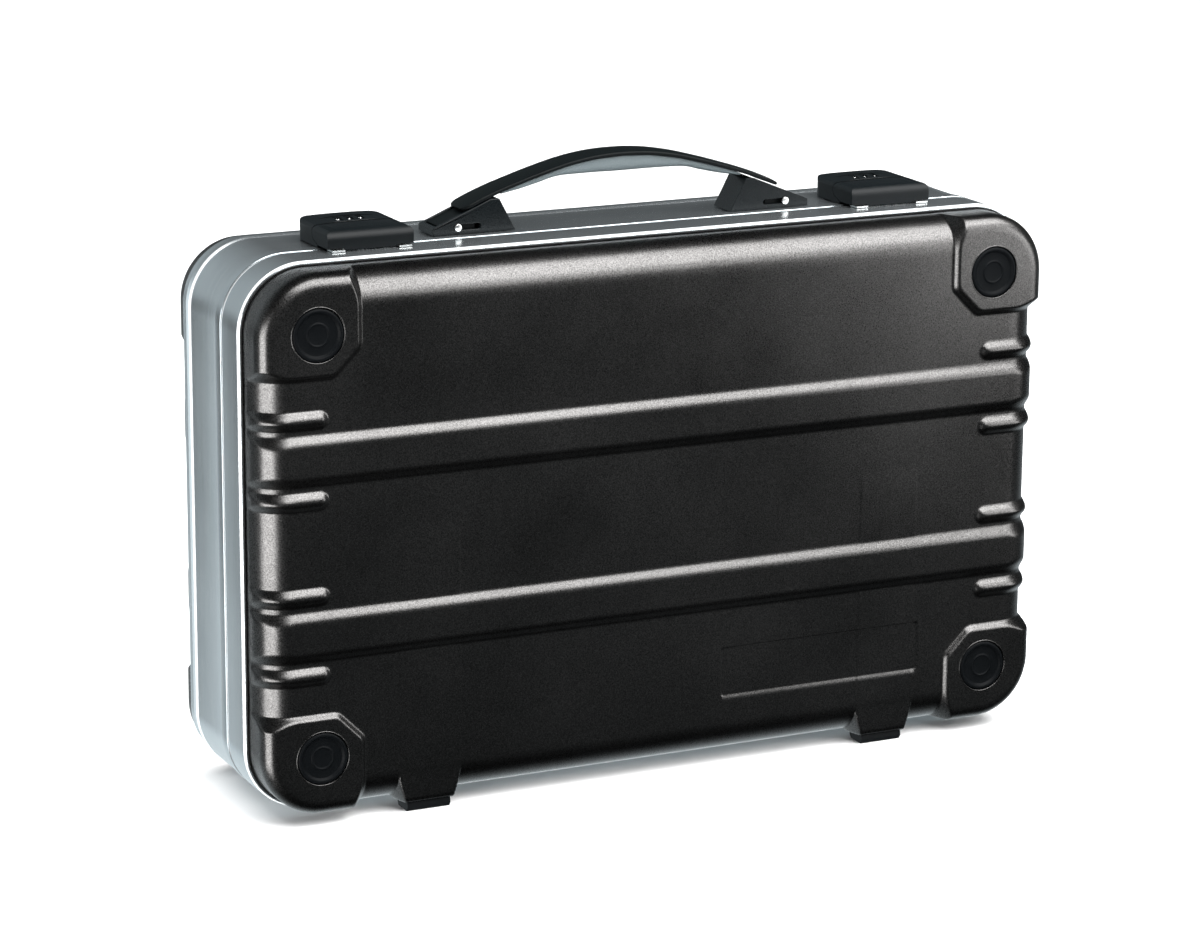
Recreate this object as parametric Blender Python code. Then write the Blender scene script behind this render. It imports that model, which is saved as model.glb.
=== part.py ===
"""Aluminum attache case: two drawn shells in extruded frames, standing on its hinge side.

World frame in metres: X is the width, Y the depth with the lid towards -Y, Z is up.
Z = 0 is the underside of the rubber feet.
"""
import math

import bmesh
import bpy
from mathutils import Vector

MM = 0.001

# ---- overall size ----
HALF_W = 247 * MM
HALF_H = 155 * MM
CORNER_R = 38 * MM
CENTRE_Z = 159 * MM
FRAME_TOP = CENTRE_Z + HALF_H
FRAME_BOTTOM = CENTRE_Z - HALF_H
GAP = 0.3 * MM
FIT_GAP = 0.4 * MM

# ---- depth stations along Y ----
LID_FRONT = -39 * MM
PARTING = -12 * MM
HALF_SPLIT = 0.2 * MM
BASE_REAR = 52 * MM
LID_PANEL = -61 * MM
LID_PAD = -64 * MM
BASE_PANEL = 61.5 * MM
BASE_PAD = 64 * MM

# ---- drawn shells ----
SHEET = 1.2 * MM
LID_WALL_INSET = 3 * MM
BASE_WALL_INSET = 3.6 * MM
LID_EDGE_R = 20 * MM
BASE_EDGE_R = 8.5 * MM
ARC_STEPS = 5
EDGE_STEPS = 4

# ---- relief pressed into the shells ----
PAD_X = 184 * MM
PAD_Z = 94 * MM
PAD_CUT = 16 * MM
PAD_ROUNDING = 0.4
RIB_ROUNDING = 0.85
PAD_CREST = 4 * MM
PAD_BEVEL = PAD_CREST * math.sin(math.radians(45))
RIB_Z = 49.5 * MM
RIB_HALF = 14.4 * MM
RIB_BEVEL = 5 * MM
FINGER_OFFSET = 22.5 * MM
FINGER_HALF = 5.2 * MM
FINGER_BEVEL = 3.5 * MM
FINGER_TIP = 204 * MM

# ---- rubber buttons and feet ----
BUTTON_X = 210 * MM
BUTTON_Z = 119 * MM
BUTTON_HOLE_R = 15.4 * MM
BUTTON_R = 15 * MM
FOOT_X = 145 * MM
TAB_HALF = 18.7 * MM
TAB_BEVEL = 4 * MM
TAB_SLOPE = 2.0
TAB_DROP = 1.4 * MM
TAB_START = math.radians(8)
TAB_RAMP = 14 * MM
TAB_EDGE_R = 2.5 * MM
FOOT_HALF = 13 * MM
REAR_FOOT_Y = 30 * MM
REAR_FOOT_R = 8 * MM

# ---- hinge ----
HINGE_X = 95 * MM
HINGE_Z = 2.05 * MM
KNUCKLE_R = 1.65 * MM
HINGE_BORE_R = 1.1 * MM
HINGE_PIN_R = 0.8 * MM
LEAF_HALF = 22 * MM
LEAF_DEPTH = 13 * MM

# ---- lid stay: slotted arm whose two pins lie on one circle about the hinge axis ----
STAY_X = 232.8 * MM
STAY_RADIUS = 42 * MM
STAY_ANGLE = math.radians(10)
STAY_LENGTH = 70.5 * MM
STAY_HALF_WIDTH = 4.8 * MM
STAY_SLOT_HALF = 2.8 * MM
STAY_THICK = 1.6 * MM
STAY_PIN_R = 2.5 * MM

# ---- handle ----
HANDLE_Y = 5.5 * MM
MOUNT_HALF_DEPTH = 10.5 * MM
MOUNT_OUTER_X = 118 * MM
MOUNT_PEAK_X = 83 * MM
MOUNT_INNER_TOP_X = 77.5 * MM
MOUNT_INNER_X = 67.7 * MM
MOUNT_OUTER_H = 4.3 * MM
MOUNT_PEAK_H = 18.7 * MM
CHANNEL_HALF = 7.8 * MM
SLIDER_HALF = 7.5 * MM
HANDLE_PIN_X = 103.1 * MM
HANDLE_PIN_H = 4.2 * MM
HANDLE_PIN_R = 1.3 * MM
HANDLE_HEAD_R = 2.3 * MM
SLOT_INNER_X = 90.6 * MM
SLOT_HALF = 1.6 * MM
STRAP_HALF = 10.2 * MM
STRAP_THICK = 2.8 * MM
GRIP_HALF = 9 * MM
STRAP_TOP = (
    (0, 40.2), (17, 39.4), (34, 36.7), (52, 32.1), (68, 27.3),
    (78, 24.1), (88, 20.4), (96, 17.0), (100.5, 15.0),
)
GRIP_BOTTOM = ((0, 27.6), (20, 27.8), (40, 27.4), (52, 24.6), (64, 21.9), (75, 20.3))

# ---- combination locks ----
LOCK_X = 162.8 * MM
LOCK_HALF = 25.4 * MM
LOCK_H = 12.2 * MM
LOCK_REAR_Y = 27 * MM
LOCK_CORNER_R = 11 * MM
LOCK_CROWN_X = 21.8 * MM
LOCK_CROWN_DROP = 0.8 * MM
LOCK_END_H = 8.4 * MM
LOCK_FRONT_Y = -23.5 * MM
FLAP_AXIS_Y = -4.4 * MM
FLAP_KNUCKLE_R = 4.4 * MM
FLAP_SHEET = 1.5 * MM
FLAP_BOTTOM_H = 1.7 * MM
FLAP_SKIRT_HALF = 15.5 * MM
FLAP_SKIRT_H = 0.7 * MM
FLAP_END_WALL = 3.6 * MM
DIAL_Y = 9 * MM
DIAL_R = 5.2 * MM
DIAL_HALF = 1.5 * MM
DIAL_PITCH = 6.6 * MM
DIAL_AXIS_H = 6.3 * MM

# ---- blank recessed rectangle on the lid, heights from the shell's centre ----
PLATE_LEFT = 36.8 * MM
PLATE_RIGHT = 166.6 * MM
PLATE_LOW = -117 * MM
PLATE_HIGH = -87 * MM
PLATE_CORNER_R = 3 * MM
PLATE_DEPTH = 0.6 * MM
AXLE_R = 0.9 * MM


def clear_scene():
    for obj in list(bpy.data.objects):
        bpy.data.objects.remove(obj, do_unlink=True)


def material(name, colour, roughness, metallic):
    made = bpy.data.materials.new(name)
    made.use_nodes = True
    shader = made.node_tree.nodes["Principled BSDF"]
    shader.inputs["Base Color"].default_value = (*colour, 1.0)
    shader.inputs["Roughness"].default_value = roughness
    shader.inputs["Metallic"].default_value = metallic
    return made


def finish(name, bm, paint, origin=(0.0, 0.0, 0.0), sharp_deg=35.0):
    """Turn a bmesh in world coordinates into a named object whose origin is the given point."""
    bmesh.ops.remove_doubles(bm, verts=bm.verts, dist=1e-6)
    bmesh.ops.recalc_face_normals(bm, faces=bm.faces)
    bmesh.ops.translate(bm, verts=bm.verts, vec=-Vector(origin))
    mesh = bpy.data.meshes.new(name)
    bm.to_mesh(mesh)
    bm.free()
    mesh.materials.append(paint)
    mesh.shade_smooth()
    mesh.set_sharp_from_angle(angle=math.radians(sharp_deg))
    obj = bpy.data.objects.new(name, mesh)
    obj.location = origin
    bpy.context.scene.collection.objects.link(obj)
    return obj


def hide_cutter(obj):
    obj.hide_render = True
    obj.display_type = "WIRE"


def boolean(obj, cutter, operation):
    step = obj.modifiers.new(operation.title(), "BOOLEAN")
    step.operation = operation
    step.solver = "EXACT"
    step.object = cutter
    hide_cutter(cutter)


def add_box(bm, low, high):
    corners = []
    for z in (low[2], high[2]):
        for y in (low[1], high[1]):
            for x in (low[0], high[0]):
                corners.append(bm.verts.new((x, y, z)))
    for quad in ((0, 2, 3, 1), (4, 5, 7, 6), (0, 1, 5, 4), (2, 6, 7, 3), (0, 4, 6, 2), (1, 3, 7, 5)):
        bm.faces.new([corners[i] for i in quad])


def add_prism(bm, outline, axis, low, high):
    """Extrude an outline along an axis. It holds (Y, Z) pairs for X, (X, Z) for Y and (X, Y) for Z."""
    rings = []
    for depth in (low, high):
        if axis == "X":
            rings.append([bm.verts.new((depth, a, b)) for a, b in outline])
        elif axis == "Y":
            rings.append([bm.verts.new((a, depth, b)) for a, b in outline])
        else:
            rings.append([bm.verts.new((a, b, depth)) for a, b in outline])
    count = len(outline)
    for i in range(count):
        j = (i + 1) % count
        bm.faces.new((rings[0][i], rings[0][j], rings[1][j], rings[1][i]))
    bm.faces.new(rings[0][::-1])
    bm.faces.new(rings[1])


def add_lathe(bm, profile, centre, axis, segments):
    """Turn (radius, distance along the axis) pairs round a line. Zero-radius ends close the shape."""
    rings = []
    for radius, along in profile:
        ring = []
        for k in range(segments):
            angle = 2 * math.pi * k / segments
            side = radius * math.cos(angle)
            rise = radius * math.sin(angle)
            if axis == "X":
                place = (centre[0] + along, centre[1] + side, centre[2] + rise)
            elif axis == "Y":
                place = (centre[0] + side, centre[1] + along, centre[2] + rise)
            else:
                place = (centre[0] + side, centre[1] + rise, centre[2] + along)
            ring.append(bm.verts.new(place))
        rings.append(ring)
    for first, second in zip(rings, rings[1:]):
        for k in range(segments):
            m = (k + 1) % segments
            bm.faces.new((first[k], first[m], second[m], second[k]))
    bmesh.ops.remove_doubles(bm, verts=[v for ring in rings for v in ring], dist=1e-7)
    if profile[0][0] > 0:
        bm.faces.new([v for v in rings[0] if v.is_valid])
    if profile[-1][0] > 0:
        bm.faces.new([v for v in rings[-1] if v.is_valid])


def add_rod(bm, centre, axis, radius, low, high, segments=20):
    add_lathe(bm, ((radius, low), (radius, high)), centre, axis, segments)


def outline_stations(half_w, half_h, radius, xs, zs, arc_steps):
    """Points round the inner rectangle of a rounded outline, each with its outward direction."""
    core_x = half_w - radius
    core_z = half_h - radius
    stations = []
    sides = (
        ([(x, core_z) for x in xs], (0.0, 1.0), (core_x, core_z), 90),
        ([(core_x, z) for z in reversed(zs)], (1.0, 0.0), (core_x, -core_z), 0),
        ([(x, -core_z) for x in reversed(xs)], (0.0, -1.0), (-core_x, -core_z), -90),
        ([(-core_x, z) for z in zs], (-1.0, 0.0), (-core_x, core_z), -180),
    )
    for points, direction, corner, start in sides:
        for point in points:
            stations.append((point, direction))
        for k in range(1, arc_steps):
            angle = math.radians(start - 90 * k / arc_steps)
            stations.append((corner, (math.cos(angle), math.sin(angle))))
    return stations


def ring_solid(name, profile, paint):
    """Sweep a closed (inset, Y) profile round the case outline."""
    core_x = HALF_W - CORNER_R
    core_z = HALF_H - CORNER_R
    stations = outline_stations(HALF_W, HALF_H, CORNER_R, (-core_x, core_x), (-core_z, core_z), ARC_STEPS)
    bm = bmesh.new()
    rings = []
    for point, direction in stations:
        ring = []
        for inset, y in profile:
            reach = CORNER_R - inset
            x = point[0] + reach * direction[0]
            z = point[1] + reach * direction[1]
            ring.append(bm.verts.new((x, y, z + CENTRE_Z)))
        rings.append(ring)
    count = len(profile)
    for i, ring in enumerate(rings):
        after = rings[(i + 1) % len(rings)]
        for k in range(count):
            m = (k + 1) % count
            bm.faces.new((ring[k], ring[m], after[m], after[k]))
    return finish(name, bm, paint)


def pad_depth(x, z):
    """Distance inside the corner pad's edge, negative outside it."""
    across = abs(x) - PAD_X
    up = abs(z) - PAD_Z
    diagonal = (across + up - PAD_CUT) * math.sin(math.radians(45))
    return min(across, up, diagonal)


def rib_depth(z):
    return RIB_HALF - min(abs(z - RIB_Z), abs(z + RIB_Z))


def finger_depth(x, z):
    best = -1.0
    for rib in (RIB_Z, -RIB_Z):
        for side in (FINGER_OFFSET, -FINGER_OFFSET):
            dx = max(0.0, FINGER_TIP + FINGER_HALF - abs(x))
            best = max(best, FINGER_HALF - math.hypot(dx, z - rib - side))
    return best


def boxed_reach(angle, side, front, corner_r):
    """Distance along a ray to a box corner whose walls are this far off to the side and the front."""
    low = 0.0
    high = side + front
    for _ in range(40):
        middle = (low + high) / 2
        across = middle * math.cos(angle) - (side - corner_r)
        out = middle * math.sin(angle) - (front - corner_r)
        if across > 0 and out > 0:
            inside = math.hypot(across, out) <= corner_r
        else:
            inside = across <= corner_r and out <= corner_r
        if inside:
            low = middle
        else:
            high = middle
    return low


def tab_depth(x, z):
    """Distance inside the nearer foot tab's side edge, for the lower edge of the lid only."""
    if z > 0:
        return -1.0
    return TAB_HALF - abs(abs(x) - FOOT_X)


def relief(x, z, angle, edge_r, rise, fingers):
    """Height of the pressed relief over the plain shell at one point of its front view."""
    pad_top = boxed_reach(angle, edge_r, edge_r + rise, PAD_ROUNDING * edge_r) - edge_r
    rib_top = boxed_reach(angle, edge_r, edge_r + rise, RIB_ROUNDING * edge_r) - edge_r
    slope = rise / PAD_BEVEL
    heights = [0.0]
    heights.append(min(pad_top, slope * pad_depth(x, z)))
    heights.append(min(rib_top, rise / RIB_BEVEL * rib_depth(z)))
    if fingers:
        tab_top = boxed_reach(angle, edge_r + TAB_DROP, edge_r, TAB_EDGE_R) - edge_r
        tab_top = min(tab_top, TAB_RAMP * (angle - TAB_START))
        heights.append(min(rib_top, rise / FINGER_BEVEL * finger_depth(x, z)))
        heights.append(min(tab_top, TAB_SLOPE * tab_depth(x, z)))
    return max(heights)


def grid_lines(limit, marks):
    values = sorted({round(m, 6) for m in marks if m < limit} | {round(limit, 6)})
    return [-v for v in reversed(values)] + values


def shell_solid(name, paint, wall_inset, start_y, panel_y, pad_y, edge_r, fingers):
    """A drawn pan with pressed ribs and corner pads, of one sheet thickness throughout."""
    half_w = HALF_W - wall_inset
    half_h = HALF_H - wall_inset
    radius = CORNER_R - wall_inset
    toward = 1.0 if panel_y > start_y else -1.0
    rise = abs(pad_y - panel_y)
    round_y = panel_y - toward * edge_r
    diagonal = [PAD_CREST * k for k in range(5)]
    x_marks = [PAD_X + PAD_BEVEL] + [PAD_X + d for d in diagonal]
    z_marks = [PAD_Z + PAD_BEVEL] + [PAD_Z + d for d in diagonal]
    for edge in (-RIB_HALF, RIB_BEVEL - RIB_HALF, RIB_HALF - RIB_BEVEL, RIB_HALF):
        z_marks.append(RIB_Z + edge)
    if fingers:
        x_marks += [FINGER_TIP, FINGER_TIP + 2.5 * MM]
        for edge in (-TAB_HALF, TAB_BEVEL - TAB_HALF, TAB_HALF - TAB_BEVEL, TAB_HALF):
            x_marks.append(FOOT_X + edge)
        for side in (-FINGER_OFFSET, FINGER_OFFSET):
            for edge in (-FINGER_HALF, FINGER_BEVEL - FINGER_HALF, FINGER_HALF - FINGER_BEVEL, FINGER_HALF):
                z_marks.append(RIB_Z + side + edge)
    xs = grid_lines(half_w - radius, x_marks)
    zs = grid_lines(half_h - radius, z_marks)
    stations = outline_stations(half_w, half_h, radius, xs, zs, ARC_STEPS)
    profile = [(0.0, start_y, 0.0), (0.0, round_y, 0.0)]
    for k in range(1, EDGE_STEPS + 1):
        angle = math.radians(90 * k / EDGE_STEPS)
        profile.append((edge_r * (1 - math.cos(angle)), round_y + toward * edge_r * math.sin(angle), angle))
    profile.append((radius, panel_y, math.pi / 2))

    def place(point, direction, inset, y, angle, skin):
        reach = radius - inset
        x = point[0] + reach * direction[0]
        z = point[1] + reach * direction[1]
        lift = relief(x, z, angle, edge_r, rise, fingers) - skin * SHEET
        out = lift * math.cos(angle)
        depth = y + toward * lift * math.sin(angle)
        return (x + out * direction[0], depth, z + out * direction[1] + CENTRE_Z)

    bm = bmesh.new()
    flanges = []
    for skin in (0, 1):
        rings = []
        for inset, y, angle in profile:
            rings.append([bm.verts.new(place(p, d, inset, y, angle, skin)) for p, d in stations])
        for first, second in zip(rings, rings[1:]):
            for k in range(len(stations)):
                m = (k + 1) % len(stations)
                add_patch(bm, (first[k], first[m], second[m], second[k]))
        flanges.append(rings[0])
        grid = []
        for z in zs:
            row = [place((x, z), (0.0, 0.0), 0.0, panel_y, math.pi / 2, skin) for x in xs]
            grid.append([bm.verts.new(point) for point in row])
        for low, high in zip(grid, grid[1:]):
            for i in range(len(xs) - 1):
                add_patch(bm, (low[i], low[i + 1], high[i + 1], high[i]))
    for k in range(len(stations)):
        m = (k + 1) % len(stations)
        bm.faces.new((flanges[0][k], flanges[0][m], flanges[1][m], flanges[1][k]))
    bmesh.ops.remove_doubles(bm, verts=bm.verts, dist=1e-6)
    bmesh.ops.dissolve_limit(bm, angle_limit=math.radians(0.6), verts=bm.verts, edges=bm.edges)
    bmesh.ops.triangulate(bm, faces=bm.faces)
    return finish(name, bm, paint, sharp_deg=50.0)


def add_patch(bm, corners):
    """Add a quad, split along the diagonal whose ends are closest in depth."""
    a, b, c, d = corners
    if abs(a.co.y - c.co.y) <= abs(b.co.y - d.co.y):
        halves = ((a, b, c), (a, c, d))
    else:
        halves = ((a, b, d), (b, c, d))
    for half in halves:
        points = {tuple(round(v, 7) for v in vert.co) for vert in half}
        if len(points) == 3:
            bm.faces.new(half)


def button_holes(shell, y):
    bm = bmesh.new()
    for sx in (-1, 1):
        for sz in (-1, 1):
            add_rod(bm, (sx * BUTTON_X, y, CENTRE_Z + sz * BUTTON_Z), "Y", BUTTON_HOLE_R, -9 * MM, 9 * MM, 24)
    cutter = finish(shell.name + "_hole_cutter", bm, shell.data.materials[0])
    boolean(shell, cutter, "DIFFERENCE")


def build_frames(paint):
    thick = 2 * MM
    foot = 5 * MM
    groove_low = 2.2 * MM
    groove_high = 4.2 * MM
    lid_edge = PARTING - HALF_SPLIT
    base_edge = PARTING + HALF_SPLIT
    lid_profile = (
        (0.6 * MM, lid_edge),
        (0.0, lid_edge - 2.7 * MM),
        (0.0, LID_FRONT + 1.6 * MM),
        (1.2 * MM, LID_FRONT),
        (thick, LID_FRONT),
        (thick, -32.8 * MM),
        (8 * MM, -32.8 * MM),
        (8 * MM, -31.2 * MM),
        (thick, -31.2 * MM),
        (thick, -25 * MM),
        (foot, -25 * MM),
        (foot, lid_edge),
        (groove_high, lid_edge),
        (groove_high, lid_edge - 2.5 * MM),
        (groove_low, lid_edge - 2.5 * MM),
        (groove_low, lid_edge),
    )
    ring_solid("lid_frame", lid_profile, paint)
    base_profile = (
        (0.3 * MM, base_edge),
        (0.0, base_edge + 0.3 * MM),
        (0.0, -3.6 * MM),
        (0.5 * MM, -3.0 * MM),
        (0.5 * MM, 35.5 * MM),
        (0.0, 36.2 * MM),
        (0.0, 37.2 * MM),
        (1.4 * MM, 45.8 * MM),
        (1.4 * MM, 50.5 * MM),
        (2.2 * MM, BASE_REAR),
        (3.3 * MM, BASE_REAR),
        (3.3 * MM, 46.0 * MM),
        (9 * MM, 46.0 * MM),
        (9 * MM, 44.2 * MM),
        (2.8 * MM, 44.2 * MM),
        (2.8 * MM, 1 * MM),
        (foot, 1 * MM),
        (foot, base_edge),
    )
    ring_solid("base_frame", base_profile, paint)
    return groove_low, groove_high, lid_edge


def build_seals(paint, groove_low, groove_high, lid_edge):
    gasket = (
        (groove_low + GAP, lid_edge - 0.1 * MM),
        (groove_low + GAP, lid_edge - 2.2 * MM),
        (groove_high - GAP, lid_edge - 2.2 * MM),
        (groove_high - GAP, lid_edge - 0.1 * MM),
    )
    ring_solid("lid_gasket", gasket, paint)
    trim = (
        (2.3 * MM, LID_FRONT + 0.2 * MM),
        (2.3 * MM, -36 * MM),
        (2.75 * MM, -36 * MM),
        (2.75 * MM, LID_FRONT + 0.2 * MM),
    )
    ring_solid("lid_shell_trim", trim, paint)


def lining_solid(name, paint, inset, y_low, y_high):
    core_x = HALF_W - CORNER_R
    core_z = HALF_H - CORNER_R
    stations = outline_stations(HALF_W, HALF_H, CORNER_R, (-core_x, core_x), (-core_z, core_z), ARC_STEPS)
    reach = CORNER_R - inset
    outline = [(p[0] + reach * d[0], p[1] + reach * d[1] + CENTRE_Z) for p, d in stations]
    bm = bmesh.new()
    add_prism(bm, outline, "Y", y_low, y_high)
    finish(name, bm, paint)


def build_buttons(prefix, outer_y, paint):
    """Rubber buttons with a raised rim and a plain ring, each plugged into its hole."""
    toward = 1.0 if outer_y > 0 else -1.0
    profile = (
        (0.0, -0.9 * MM),
        (5.4 * MM, -0.9 * MM),
        (6.2 * MM, -0.3 * MM),
        (7.0 * MM, -0.9 * MM),
        (11.6 * MM, -0.9 * MM),
        (12.6 * MM, 0.5 * MM),
        (14.0 * MM, 0.5 * MM),
        (BUTTON_R, -0.6 * MM),
        (BUTTON_R, -5.2 * MM),
        (0.0, -5.2 * MM),
    )
    for name, sx, sz in (("L_top", -1, 1), ("R_top", 1, 1), ("L_bottom", -1, -1), ("R_bottom", 1, -1)):
        bm = bmesh.new()
        placed = [(radius, toward * (along - 0.5 * MM)) for radius, along in profile]
        add_lathe(bm, placed, (sx * BUTTON_X, outer_y, CENTRE_Z + sz * BUTTON_Z), "Y", 20)
        finish(f"{prefix}_button_{name}", bm, paint)


def build_feet(paint):
    for name, side in (("L", -1), ("R", 1)):
        bm = bmesh.new()
        low = side * FOOT_X - FOOT_HALF
        high = side * FOOT_X + FOOT_HALF
        outline = (
            (-59.0 * MM, 2.5 * MM),
            (-57.5 * MM, 0.0),
            (-45.5 * MM, 0.0),
            (-44 * MM, 2.5 * MM),
            (-44 * MM, 6.3 * MM),
            (-48.2 * MM, 5.3 * MM),
            (-58.4 * MM, 5.3 * MM),
        )
        add_prism(bm, outline, "X", low, high)
        finish(f"lid_foot_{name}", bm, paint)
        bm = bmesh.new()
        profile = ((REAR_FOOT_R - 1 * MM, 0.0), (REAR_FOOT_R, 1 * MM), (REAR_FOOT_R, 3.7 * MM))
        add_lathe(bm, profile, (side * FOOT_X, REAR_FOOT_Y, 0.0), "Z", 20)
        finish(f"base_foot_{name}", bm, paint)


def build_hinges(steel):
    """Butt hinges under the case: the pin runs along X on the parting plane."""
    plate_low = HINGE_Z + 0.75 * MM
    plate_high = HINGE_Z + 1.65 * MM
    third = LEAF_HALF * 2 / 3
    for name, side in (("L", -1), ("R", 1)):
        centre = side * HINGE_X
        axis_point = (centre, PARTING, HINGE_Z)
        for part, toward, spans in (
            ("base", 1, ((-LEAF_HALF, -LEAF_HALF + third - GAP), (LEAF_HALF - third + GAP, LEAF_HALF))),
            ("lid", -1, ((-LEAF_HALF + third, LEAF_HALF - third),)),
        ):
            bm = bmesh.new()
            near = PARTING + toward * 1.9 * MM
            far = PARTING + toward * LEAF_DEPTH
            add_box(
                bm,
                (centre - LEAF_HALF, min(near, far), plate_low),
                (centre + LEAF_HALF, max(near, far), plate_high),
            )
            leaf = finish(f"hinge_{part}_leaf_{name}", bm, steel, origin=axis_point)
            bm = bmesh.new()
            for low, high in spans:
                add_rod(bm, axis_point, "X", KNUCKLE_R, low, high, 18)
            knuckles = finish(f"{part}_knuckle_{name}", bm, steel)
            boolean(leaf, knuckles, "UNION")
            bm = bmesh.new()
            for low, high in spans:
                start = PARTING + toward * 0.2 * MM
                end = near + toward * 0.4 * MM
                add_box(
                    bm,
                    (centre + low, min(start, end), plate_low + 0.02 * MM),
                    (centre + high, max(start, end), plate_high - 0.02 * MM),
                )
            webs = finish(f"{part}_web_{name}", bm, steel)
            boolean(leaf, webs, "UNION")
            bm = bmesh.new()
            add_rod(bm, axis_point, "X", HINGE_BORE_R, -LEAF_HALF - 1 * MM, LEAF_HALF + 1 * MM, 14)
            bore = finish(f"{part}_bore_{name}", bm, steel)
            boolean(leaf, bore, "DIFFERENCE")
        bm = bmesh.new()
        add_rod(bm, axis_point, "X", HINGE_PIN_R, -LEAF_HALF, LEAF_HALF, 12)
        finish(f"hinge_pin_{name}", bm, steel)


def stay_point(angle):
    """(Y, Z) on the stay circle about the hinge axis, the angle measured from +Z towards +Y."""
    return (PARTING + STAY_RADIUS * math.sin(angle), HINGE_Z + STAY_RADIUS * math.cos(angle))


def capsule_outline(centre, low, high, radius, steps):
    """A slot shape along Y from low to high, with round ends."""
    points = []
    for k in range(steps + 1):
        angle = -math.pi / 2 + math.pi * k / steps
        points.append((high + radius * math.cos(angle), centre + radius * math.sin(angle)))
    for k in range(steps + 1):
        angle = math.pi / 2 + math.pi * k / steps
        points.append((low + radius * math.cos(angle), centre + radius * math.sin(angle)))
    return points


def build_stays(steel):
    lid_y, pin_z = stay_point(-STAY_ANGLE)
    base_y, _ = stay_point(STAY_ANGLE)
    near = 2 * STAY_RADIUS * math.sin(STAY_ANGLE)
    far = 2 * STAY_RADIUS * math.sin(STAY_ANGLE + math.radians(45))
    for name, side in (("L", -1), ("R", 1)):
        for part, y in (("lid", lid_y), ("base", base_y)):
            profile = (
                (4.0 * MM, HALF_W - 5.5 * MM),
                (4.0 * MM, HALF_W - 6.7 * MM),
                (STAY_PIN_R, HALF_W - 6.9 * MM),
                (STAY_PIN_R, STAY_X - 1.3 * MM),
                (3.9 * MM, STAY_X - 1.4 * MM),
                (3.9 * MM, STAY_X - 2.4 * MM),
            )
            bm = bmesh.new()
            add_lathe(bm, [(r, side * along) for r, along in profile], (0.0, y, pin_z), "X", 20)
            finish(f"stay_{part}_post_{name}", bm, steel)
        bm = bmesh.new()
        low_x = side * STAY_X - STAY_THICK / 2
        high_x = side * STAY_X + STAY_THICK / 2
        outline = capsule_outline(pin_z, lid_y, lid_y + STAY_LENGTH, STAY_HALF_WIDTH, 8)
        add_prism(bm, outline, "X", low_x, high_x)
        arm = finish(f"stay_arm_{name}", bm, steel, origin=(side * STAY_X, lid_y, pin_z))
        bm = bmesh.new()
        slot = capsule_outline(pin_z, lid_y + near, lid_y + far, STAY_SLOT_HALF, 8)
        add_prism(bm, slot, "X", low_x - 1 * MM, high_x + 1 * MM)
        add_rod(bm, (side * STAY_X, lid_y, pin_z), "X", STAY_SLOT_HALF, -2 * MM, 2 * MM, 16)
        cutter = finish(f"stay_slot_cutter_{name}", bm, steel)
        boolean(arm, cutter, "DIFFERENCE")


def mirrored(points, side):
    return [(side * x, z) for x, z in points]


def build_handle_mounts(plastic):
    top = FRAME_TOP + GAP
    for name, side in (("L", -1), ("R", 1)):
        outline = (
            (MOUNT_OUTER_X, top),
            (MOUNT_OUTER_X, FRAME_TOP + MOUNT_OUTER_H),
            (MOUNT_PEAK_X + 1.2 * MM, FRAME_TOP + MOUNT_PEAK_H - 0.3 * MM),
            (MOUNT_PEAK_X - 0.8 * MM, FRAME_TOP + MOUNT_PEAK_H),
            (MOUNT_INNER_TOP_X + 0.8 * MM, FRAME_TOP + MOUNT_PEAK_H),
            (MOUNT_INNER_TOP_X - 0.4 * MM, FRAME_TOP + MOUNT_PEAK_H - 1 * MM),
            (MOUNT_INNER_X, top),
        )
        bm = bmesh.new()
        add_prism(bm, mirrored(outline, side), "Y", HANDLE_Y - MOUNT_HALF_DEPTH, HANDLE_Y + MOUNT_HALF_DEPTH)
        mount = finish(f"handle_mount_{name}", bm, plastic)
        bm = bmesh.new()
        channel = (
            (115 * MM, FRAME_TOP + 1.6 * MM),
            (115 * MM, FRAME_TOP + 30 * MM),
            (79.6 * MM, FRAME_TOP + 30 * MM),
            (79.6 * MM, FRAME_TOP + 1.6 * MM),
        )
        add_prism(bm, mirrored(channel, side), "Y", HANDLE_Y - CHANNEL_HALF, HANDLE_Y + CHANNEL_HALF)
        cutter = finish(f"mount_channel_cutter_{name}", bm, plastic)
        boolean(mount, cutter, "DIFFERENCE")
        bm = bmesh.new()
        height = FRAME_TOP + HANDLE_PIN_H
        slot = []
        for k in range(7):
            angle = -math.pi / 2 + math.pi * k / 6
            slot.append((HANDLE_PIN_X + SLOT_HALF * math.cos(angle), height + SLOT_HALF * math.sin(angle)))
        for k in range(7):
            angle = math.pi / 2 + math.pi * k / 6
            slot.append((SLOT_INNER_X + SLOT_HALF * math.cos(angle), height + SLOT_HALF * math.sin(angle)))
        add_prism(bm, mirrored(slot, side), "Y", HANDLE_Y - 14 * MM, HANDLE_Y + 14 * MM)
        cutter = finish(f"mount_slot_cutter_{name}", bm, plastic)
        boolean(mount, cutter, "DIFFERENCE")


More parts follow.
